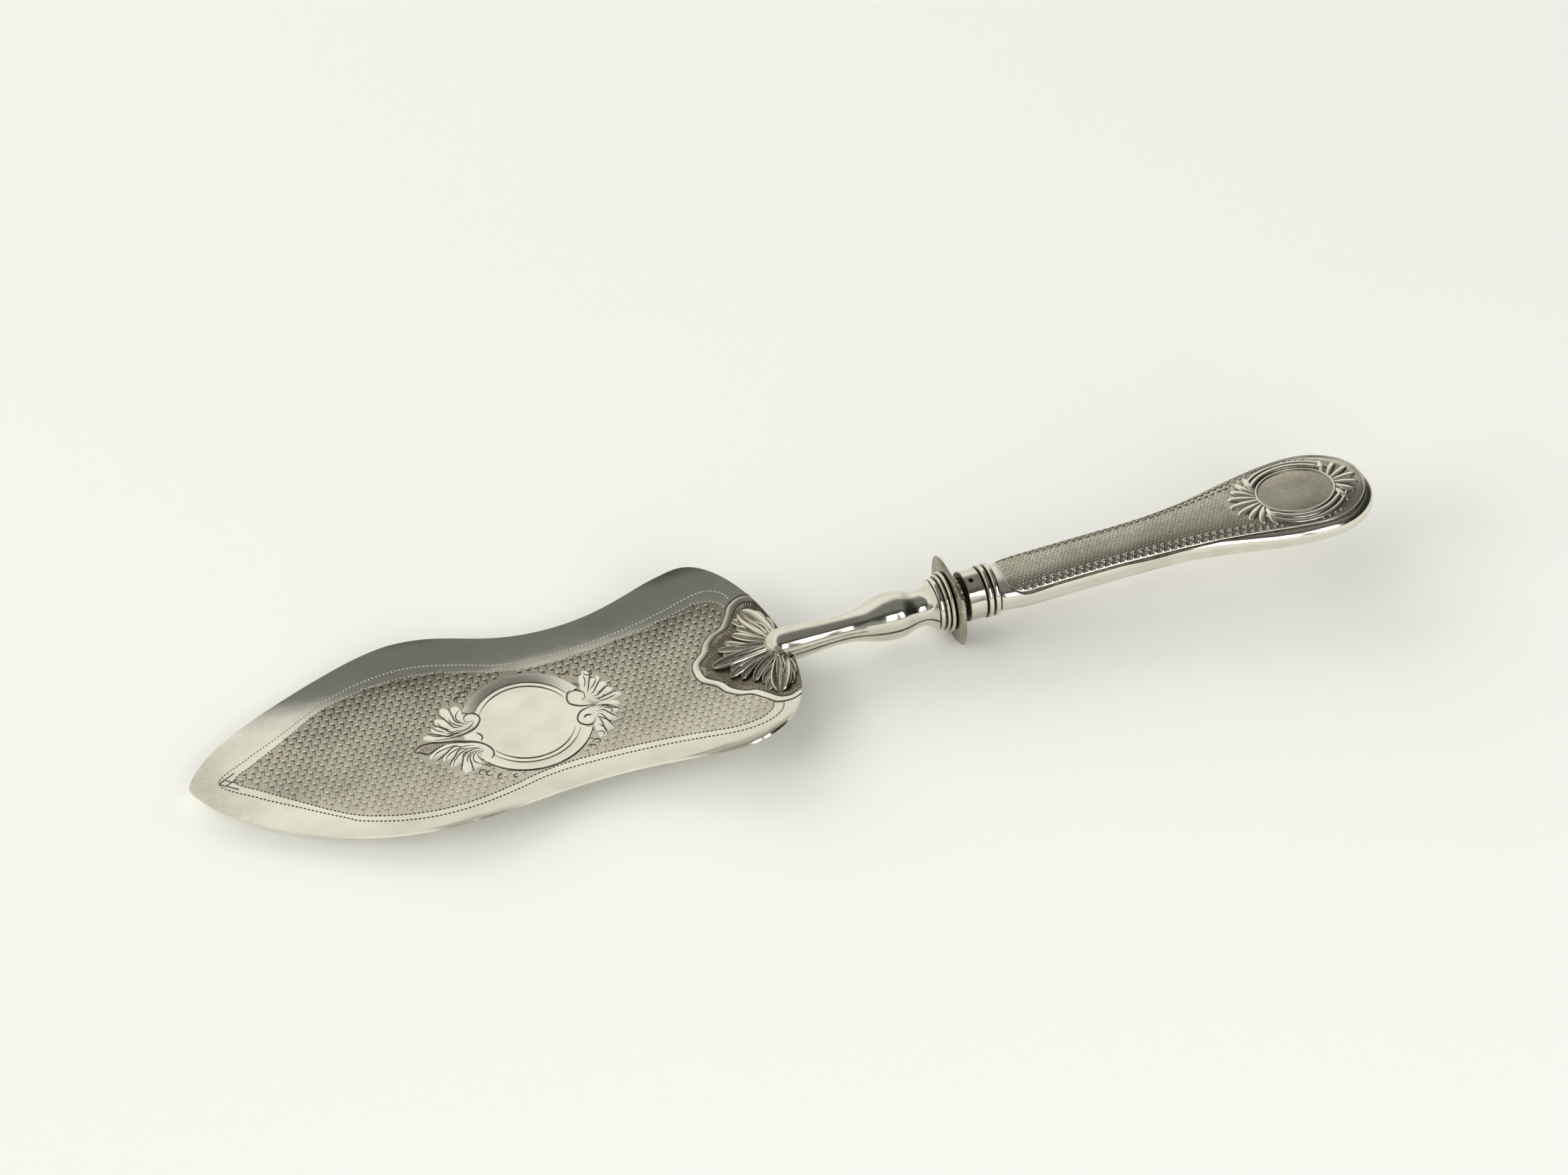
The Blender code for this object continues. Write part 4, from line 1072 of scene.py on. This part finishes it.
def stem_lines(points):
    """Long cuts low on both sides of the stem, from its root to its slim part."""
    turn = np.degrees(np.arctan2(np.abs(points[:, 1]), points[:, 2]))
    cut = sum(np.exp(-((turn - angle) / STEM_CUT_SPREAD) ** 2) for angle in STEM_CUT_ANGLES)
    share = (STEM_BACK - points[:, 0]) / STEM_LENGTH
    return STEM_CUT_TONE * cut * (share > STEM_CUTS_FROM) * (share < STEM_CUTS_TO)


def make_stem():
    """The baluster stem, turned whole and then parted along its seam; the lower half stops at the heel."""
    neck, swell, slim = ((STEM_BACK - share * STEM_LENGTH, radius) for share, radius in (
        (NECK_AT, NECK_RADIUS), (SWELL_AT, SWELL_RADIUS), (SLIM_AT, SLIM_RADIUS)))
    drop = STEM_BACK - STEM_LENGTH + DROP_RADIUS
    flare = cubic((STEM_BACK, FLARE_RADIUS), (STEM_BACK - FLARE_PULL * STEM_LENGTH, NECK_RADIUS), neck, neck, 14)
    line = joined(flare, level(neck, swell, *STEM_EASE, 14), level(swell, slim, *STEM_EASE, 20),
                  level(slim, (drop, DROP_RADIUS), *STEM_EASE, 16))
    turn = np.linspace(0.0, math.pi / 2, 14)[1:]
    nose = np.stack([drop - DROP_RADIUS * np.sin(turn), DROP_RADIUS * np.cos(turn)], -1)
    outline = [(STEM_BACK, 0.0)] + [tuple(spot) for spot in np.vstack([line, nose])]
    whole = turned("stem_upper_half", outline)
    points = points_of(whole)
    spread = (np.abs(points[:, 1:]) ** STEM_SQUARENESS).sum(1) ** (1 / STEM_SQUARENESS)
    points[:, 1:] *= (STEM_FILING * radius_of(points) / np.maximum(spread, 1e-7))[:, None]
    put_points(whole, points)
    alone(whole)
    bpy.ops.object.duplicate()
    lower = begun("stem_lower_half")
    heel = (TIP_X + BLADE_LENGTH - AXIS_POINT[0]) / math.cos(AXIS_SLOPE) + HEEL_GAP
    cuts = ((whole, "stem_upper", [((0.0, 0.0, STEM_SEAM + SEAM_GAP / 2), (0.0, 0.0, 1.0))]),
            (lower, "stem_lower", [((0.0, 0.0, STEM_SEAM - SEAM_GAP / 2), (0.0, 0.0, -1.0)),
                                   ((heel, 0.0, 0.0), (1.0, 0.0, 0.0))]))
    for piece, node, planes in cuts:
        for plane in planes:
            cut_away(piece, *plane)
        clean(piece)
        points = points_of(piece)
        seam = np.exp(-((points[:, 2] - STEM_SEAM) / SEAM_SPREAD) ** 2)
        keep_tarnish_and_shade(piece, STEM_TONE + SEAM_TONE * seam + stem_lines(points))
        set_in_place(piece, node, 40.0)


def drilled(piece, radius, place, way):
    """Bore a round hole through the wall of a piece."""
    drill = added("drill", bpy.ops.mesh.primitive_cylinder_add, vertices=48, radius=radius, depth=DRILL_LENGTH,
                  location=place, rotation=Vector(way).to_track_quat("Z", "Y").to_euler())
    bore = piece.modifiers.new("bore", "BOOLEAN")
    bore.object = drill
    apply_all(piece)
    discard(drill)
    clean(piece)


def make_mouldings():
    """Reeded flange before the guard, and behind it the plain sleeve and two bead rings of the ferrule."""
    flange = ring("stem_mouldings", TANG_BORE, [spot for reed in REEDS for spot in moulding(*reed)])
    tarnish_in(flange, REED_GROOVES, REED_GROOVE_WIDTH)
    set_in_place(flange, "stem_flange", 60.0)
    plain = np.linspace(SLEEVE_FRONT + SLEEVE_EDGE, SLEEVE_BACK - SLEEVE_EDGE, 13)
    sleeve = ring("ferrule_plain_sleeve", FERRULE_BORE,
                  [(SLEEVE_FRONT, SLEEVE_END_RADIUS), *((along, SLEEVE_RADIUS) for along in plain),
                   (SLEEVE_BACK, SLEEVE_END_RADIUS)])
    way = Vector((0.0, -math.sin(PIN_TURN), math.cos(PIN_TURN)))
    drilled(sleeve, PIN_RADIUS, Vector((PIN_ALONG, 0.0, 0.0)) + SLEEVE_RADIUS * way, way)
    tarnish_in(sleeve, (SLEEVE_FRONT, SLEEVE_BACK), FERRULE_GROOVE_WIDTH, ground=0.10)
    set_in_place(sleeve, "ferrule_sleeve", 30.0)
    for name, node, start in (("ferrule_front_bead", "ferrule_ring_front", FRONT_BEAD),
                              ("ferrule_rear_bead", "ferrule_ring_rear", REAR_BEAD)):
        end = start + BEAD_LENGTH
        bead = ring(name, FERRULE_BORE, moulding(start, end, BEAD_FOOT, BEAD_CROWN))
        tarnish_in(bead, (start, end), FERRULE_GROOVE_WIDTH)
        set_in_place(bead, node, 60.0)


def make_rear_gadroon():
    """Small collar behind the guard, pinched into lobes."""
    collar = ring("rear_gadroon", TANG_BORE, moulding(*COLLAR, 6), 2 * COLLAR_LOBES)
    points = points_of(collar)
    turn = np.rint(np.arctan2(points[:, 1], points[:, 2]) / (math.pi / COLLAR_LOBES)).astype(int)
    choose(collar, "vertices", (turn % 2 == 1) & (radius_of(points) > COLLAR_PINCH_FROM))
    bpy.ops.transform.resize(value=(1.0, COLLAR_PINCH, COLLAR_PINCH), center_override=(0.0, 0.0, 0.0))
    close()
    soft = collar.modifiers.new("rounding", "SUBSURF")
    soft.levels = soft.render_levels = 2
    apply_all(collar)
    depth = COLLAR[3] - radius_of(points_of(collar))
    keep_tarnish_and_shade(collar, np.clip(depth / COLLAR_TONE_DEPTH, 0.0, 0.6))
    kept(set_on_axis(collar), CAST, "rear_collar", slot="cast_silver")


def make_guard():
    """Thin cushion-shaped plate with pointed corners and softened edges, bored for the tang."""
    nearly = 1e-5

    def through(a, b):
        return abs(a.x - b.x) > nearly

    def at_side(a, b):
        return through(a, b) and (abs(a.y) > GUARD_SIZE[1] / 2 - nearly or abs(a.z) > GUARD_SIZE[2] / 2 - nearly)

    def round_face(a, b):
        return not through(a, b)

    plate = added("guard_cushion_plate", bpy.ops.mesh.primitive_cube_add, size=1.0)
    open_all(plate)
    bpy.ops.transform.resize(value=GUARD_SIZE)
    close()
    for wanted, size, segments in ((through, GUARD_CORNER, 2), (at_side, GUARD_POINT, 6), (round_face, GUARD_EDGE, 3)):
        ends = [[plate.data.vertices[k].co for k in edge.vertices] for edge in plate.data.edges]
        choose(plate, "edges", [wanted(a, b) for a, b in ends])
        bpy.ops.mesh.bevel(offset=size, segments=segments, affect="EDGES")
        close()
    drilled(plate, TANG_BORE, (0.0, 0.0, 0.0), (1.0, 0.0, 0.0))
    # Painted dark reflection over the whole plate, darkest at its middle
    keep_tarnish_and_shade(plate, np.clip(1.0 - radius_of(points_of(plate)) / GUARD_TONE_REACH, *GUARD_TONE_RANGE))
    set_in_place(plate, "guard_plate", 35.0)


# Handle

PANEL = [(79.7, 1.5), (79.9, 2.4), (80.6, 2.98), (82.0, 3.22), (86.0, 3.24), (90.0, 3.24), (95.0, 3.30),
         (100.0, 3.56), (105.0, 4.15), (110.0, 5.05), (115.0, 5.98), (119.0, 6.30), (122.0, 5.6), (124.4, 3.5),
         (125.4, 1.0)]
PLAQUE = (117.1, 0.0)
PLAQUE_SEMI = (4.8, 3.9)
PLAQUE_RIM = (4.74, 3.84)
FRAME_SEMI = (7.4, 5.9)
LOWER_PANEL_WIDTH = 0.84
# The plain plaque's tone is a painted dark reflection
PLAQUE_TONE, FRAME_TONE, PANEL_TONE, HANDLE_TONE = 0.44, 0.62, 0.35, 0.02


def panel_width(side):
    """The panel is narrower on the lower (-1) half than on the upper (1)."""
    return 1.0 if side > 0 else LOWER_PANEL_WIDTH


def panel_line(side, share=1.0):
    """The panel's outline on the upper or lower half."""
    far, near = mirrored(smooth(PANEL))
    return np.vstack([far, near[::-1]]) * (1.0, share * panel_width(side))


def make_shell(name, node, side):
    """One struck half of the handle."""
    shell, along, half, row, share = sheet_along(name, HANDLE_OUTLINE, step=0.0002, rows=230, columns=72)
    along = np.minimum(along, HANDLE_LENGTH - END_FILING)
    half_height, middle = handle_sizes(along)
    angle = (share + 1.0) / 2.0 * math.pi
    power = 2.0 / HANDLE_SQUARENESS
    across = half[row] * np.sign(np.cos(angle)) * np.abs(np.cos(angle)) ** power
    up = half_height[row] * np.abs(np.sin(angle)) ** power + SOLDER_GAP / 2
    put_points(shell, from_axis(HANDLE_FRONT + along[row], across, middle[row] + side * up))
    face_up(shell, AXIS_UP * side)
    thicken(shell, SHELL_THICKNESS)
    apply_all(shell)
    shade(shell, 50.0)
    flat = points_of(shell) - AXIS_POINT
    x, y = (flat @ AXIS_ALONG) / PITCH + GUARD_X, flat[:, 1] / PITCH
    struck = np.where(in_oval(PLAQUE, FRAME_SEMI, x, y), FRAME_TONE, PANEL_TONE)
    tarnish_and_shade = np.where(inside(panel_line(side, 0.95), x, y), struck, HANDLE_TONE)
    # The plaque is painted dark as a reflection
    keep_tarnish_and_shade(shell, np.where(in_oval(PLAQUE, PLAQUE_SEMI, x, y), PLAQUE_TONE, tarnish_and_shade))
    kept(shell, STRUCK, node)


SPRAY = [((112.5, 0.0), (110.8, 0.0), (108.6, 0.0), 0.52), ((112.4, 0.4), (110.8, 0.9), (109.0, 1.5), 0.50),
         ((112.3, 0.8), (111.0, 1.8), (109.9, 2.8), 0.50), ((112.4, 1.2), (111.5, 2.6), (111.1, 3.9), 0.48),
         ((112.6, 1.6), (112.4, 3.2), (112.6, 4.6), 0.44)]
CREST = [((121.8, 0.0), (123.2, 0.0), (124.9, 0.0), 0.44), ((121.8, 0.4), (123.1, 0.9), (124.5, 1.6), 0.44),
         ((121.7, 0.8), (122.6, 1.9), (123.5, 2.9), 0.44), ((121.4, 1.3), (121.8, 2.7), (122.0, 4.0), 0.40)]
FRAME_SIDES = ((24.0, 156.0), (204.0, 336.0))
FRAME_RINGS = (((5.42, 4.54), 0.38), ((6.14, 5.26), 0.30))
FRAME_GROOVES = ((5.02, 4.12), (5.78, 4.90))
FRAME_CLEARANCE = (6.4, 5.8)
LOBE_WIDENING = 1.1
SPRAY_POINT, SPRAY_FROM, SPRAY_SPREAD = 107.4, 108.4, 1.05
DASHES_END = 113.0
PANEL_DASH, PANEL_DASH_STEP, PANEL_ROW_STEP = (0.20, 0.11, 0.00012), 0.5, 0.38
PANEL_START, PANEL_COLUMNS, PANEL_ROWS = (80.2, -11 * PANEL_ROW_STEP), 66, 11
BORDER_BEAD, BORDER_BEAD_STEP = (0.36, 0.26, 0.00032), 0.92
BORDER_BEAD_ROWS = ((0.90, 81.0, 112.0), (0.74, 84.0, 110.0))
OVAL_BEAD, OVAL_BEAD_STEP = (0.24, 0.24, 0.00030), 0.85
OVAL_BEAD_ROWS = ([(110.6, 4.2), (111.6, 4.6), (112.6, 4.9), (113.6, 5.15)],
                  [(118.0, 5.55), (119.2, 5.45), (121.2, 4.9)])


def make_panel(label, side):
    """Struck ornament of one half: turned panel with its border, oval frame, leaf spray and crest."""
    trimmed = panel_line(side, 0.80)
    far = smooth(PANEL, 0.3) * (1.0, panel_width(side))

    def keep(x, y):
        within = inside(trimmed, x - PICK_ROOM, y) & inside(trimmed, x + PICK_ROOM, y) & (x < DASHES_END)
        spray = (x > SPRAY_FROM) & (np.abs(y) < SPRAY_SPREAD * (x - SPRAY_POINT))
        return within & ~spray & ~in_oval(PLAQUE, FRAME_CLEARANCE, x, y)
    dash = bump("panel_dash", PANEL_DASH, 8, 4)
    rows_over(dash, PANEL_START, PANEL_COLUMNS, PANEL_ROWS, PANEL_DASH_STEP, PANEL_ROW_STEP, keep)
    parts = [darkened_by_height(dash, PANEL_DASH[2], 0.85, 0.12)]
    for scale, first, last in BORDER_BEAD_ROWS:
        inner = far[(far[:, 0] > first) & (far[:, 0] < last)] * (1.0, scale)
        # Far-side beads get painted shade on their tops; near-side tops stay bright
        for line, top in zip(mirrored(inner), (0.45, 0.0)):
            bead = row_along(bump("border_bead", BORDER_BEAD, 8, 5), line, BORDER_BEAD_STEP)
            parts.append(darkened_by_height(bead, BORDER_BEAD[2], 0.7, top))
    rim = with_width(oval(PLAQUE, PLAQUE_RIM, 0.0, 357.0), 0.20)
    rings, grooves = [], []
    for arc in FRAME_SIDES:
        rings += [with_width(oval(PLAQUE, semi, *arc), 0.10, *[width] * 6, 0.10) for semi, width in FRAME_RINGS]
        grooves += [with_width(oval(PLAQUE, semi, *arc), 0.14) for semi in FRAME_GROOVES]
    parts += [relief("panel_edge", [with_width(panel_line(side), 0.11)], CUT, 0.8, (1.0, 0.95), True),
              relief("panel_reed", [with_width(panel_line(side, 0.95), 0.12)], ROUND, 0.9, (0.8, 0.0), True),
              relief("plaque_rim", [rim], ROUND, 0.66, (1.1, -0.1), True),
              relief("oval_rings", rings, ROUND, 0.68, (1.1, -0.1)),
              relief("oval_grooves", grooves, CUT, 0.4, (1.0, 0.9))]
    parts += [relief("lobe", [lobe], ROUND, 0.42, (1.1, -0.1)) for lobe in fan(SPRAY + CREST, LOBE_WIDENING, 0.3, 0.35)]
    for row in OVAL_BEAD_ROWS:
        for line in mirrored(row):
            bead = row_along(bump("oval_bead", OVAL_BEAD, 8, 5), smooth(line), OVAL_BEAD_STEP)
            parts.append(darkened_by_height(bead, OVAL_BEAD[2], 0.8, 0.0))
    work = one_piece("handle_ornament_" + label, *parts)
    kept(lay_on(work, on_handle(side), AXIS_UP * side), STRUCK)


make_blade()
make_turned_field()
make_borders()
make_cartouche()
make_heel_band()
make_palmette()
make_stem()
make_mouldings()
make_rear_gadroon()
make_guard()
make_shell("handle_struck_upper", "handle_upper_shell", 1)
make_shell("handle_struck_lower", "handle_lower_shell", -1)
make_panel("upper", 1)
make_panel("lower", -1)
for node, material in (("tang", STEEL), ("handle_filler", PITCH_CEMENT)):
    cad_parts[node].data.materials.clear()
    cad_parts[node].data.materials.append(material)


# Table, light and camera; a lamp is its place, size, power and whether the silver shows it
ROOM_TONES = [(0.0, (0.80, 0.79, 0.73)), (0.30, (0.90, 0.89, 0.83)), (0.495, (0.93, 0.92, 0.86)),
              (0.585, (0.52, 0.52, 0.495)), (0.69, (0.21, 0.212, 0.205)), (0.95, (0.19, 0.19, 0.18))]
WALL_LEANS = (0.5, -0.35)
LAMPS = {
    "left_window": ((0.12, -1.25, 0.60), (0.34, 0.95), 2.8, True),
    "right_window": ((0.58, -1.15, 0.60), (0.34, 0.95), 2.8, True),
    "ceiling_light": ((-0.2, 0.1, 2.0), (3.0, 3.0), 4.0, False),
    "near_wall_light": ((-1.0, -3.3, 1.1), (4.0, 1.6), 40.0, False),
    "far_wall_light": ((-1.0, 3.2, 1.2), (4.0, 1.6), 80.0, False),
    "left_wall_light": ((-3.2, 0.2, 1.1), (3.0, 1.6), 68.0, False),
    "right_wall_light": ((3.2, 0.0, 1.1), (3.0, 1.6), 18.0, False),
}
LENS = 68.734
SENSOR_WIDTH = 36.0
EYE = (-0.17933, -0.50083, 0.46025)
EYE_RIGHT = Vector((0.94386, -0.33034, -0.00267))
EYE_UP = Vector((0.21198, 0.59944, 0.77183))


def make_table():
    table = added("table", bpy.ops.mesh.primitive_plane_add, size=6.0)
    table.data.materials.append(speckled("white_table", (0.925, 0.925, 0.88), (0.945, 0.945, 0.905), roughness=0.9,
                                         metallic=0.0, scale=1.6, detail=2.0))


def make_room():
    """A pale wall on the far side, and a darker ceiling and near side, as the silver shows them."""
    world = bpy.data.worlds.new("room")
    bpy.context.scene.world = world
    world.use_nodes = True
    tree = world.node_tree
    x, y, z = new_node(tree, "SeparateXYZ", {"Vector": new_node(tree, "TexCoord", {})["Generated"]})
    lean = reckon(tree, "MULTIPLY_ADD", y, WALL_LEANS[1], z)
    tone = ramp(tree, reckon(tree, "MULTIPLY_ADD", x, WALL_LEANS[0], lean), ROOM_TONES)
    corner = ramp(tree, x, [(0.48, grey(1.0)), (0.72, grey(0.16))])
    near = ramp(tree, reckon(tree, "MULTIPLY", y, -1.0), [(0.28, grey(1.0)), (0.55, grey(0.32))])
    for shadow in (corner, near):
        tone = new_node(tree, "VectorMath", {0: tone, 1: shadow}, operation="MULTIPLY")["Vector"]
    tree.links.new(tone, tree.nodes["Background"].inputs["Color"])


def in_scene(name, data):
    thing = bpy.data.objects.new(name, data)
    bpy.context.scene.collection.objects.link(thing)
    return thing


def lamp(name, place, size, power, seen):
    data = bpy.data.lights.new(name, "AREA")
    data.shape = "RECTANGLE"
    data.size, data.size_y = size
    data.energy = power
    light = in_scene(name, data)
    light.location = place
    light.rotation_euler = (-Vector(place)).to_track_quat("-Z", "Y").to_euler()
    light.visible_glossy = seen


def make_camera():
    """The camera that was fitted to the photo."""
    data = bpy.data.cameras.new("photo_camera")
    data.lens = LENS
    data.sensor_width = SENSOR_WIDTH
    camera = in_scene("photo_camera", data)
    turn = Matrix((EYE_RIGHT, EYE_UP, EYE_RIGHT.cross(EYE_UP))).transposed()
    camera.matrix_world = Matrix.Translation(EYE) @ turn.to_4x4()
    bpy.context.scene.camera = camera


make_table()
make_room()
for name, lamp_settings in LAMPS.items():
    lamp(name, *lamp_settings)
make_camera()
bpy.context.scene.view_settings.view_transform = "Standard"
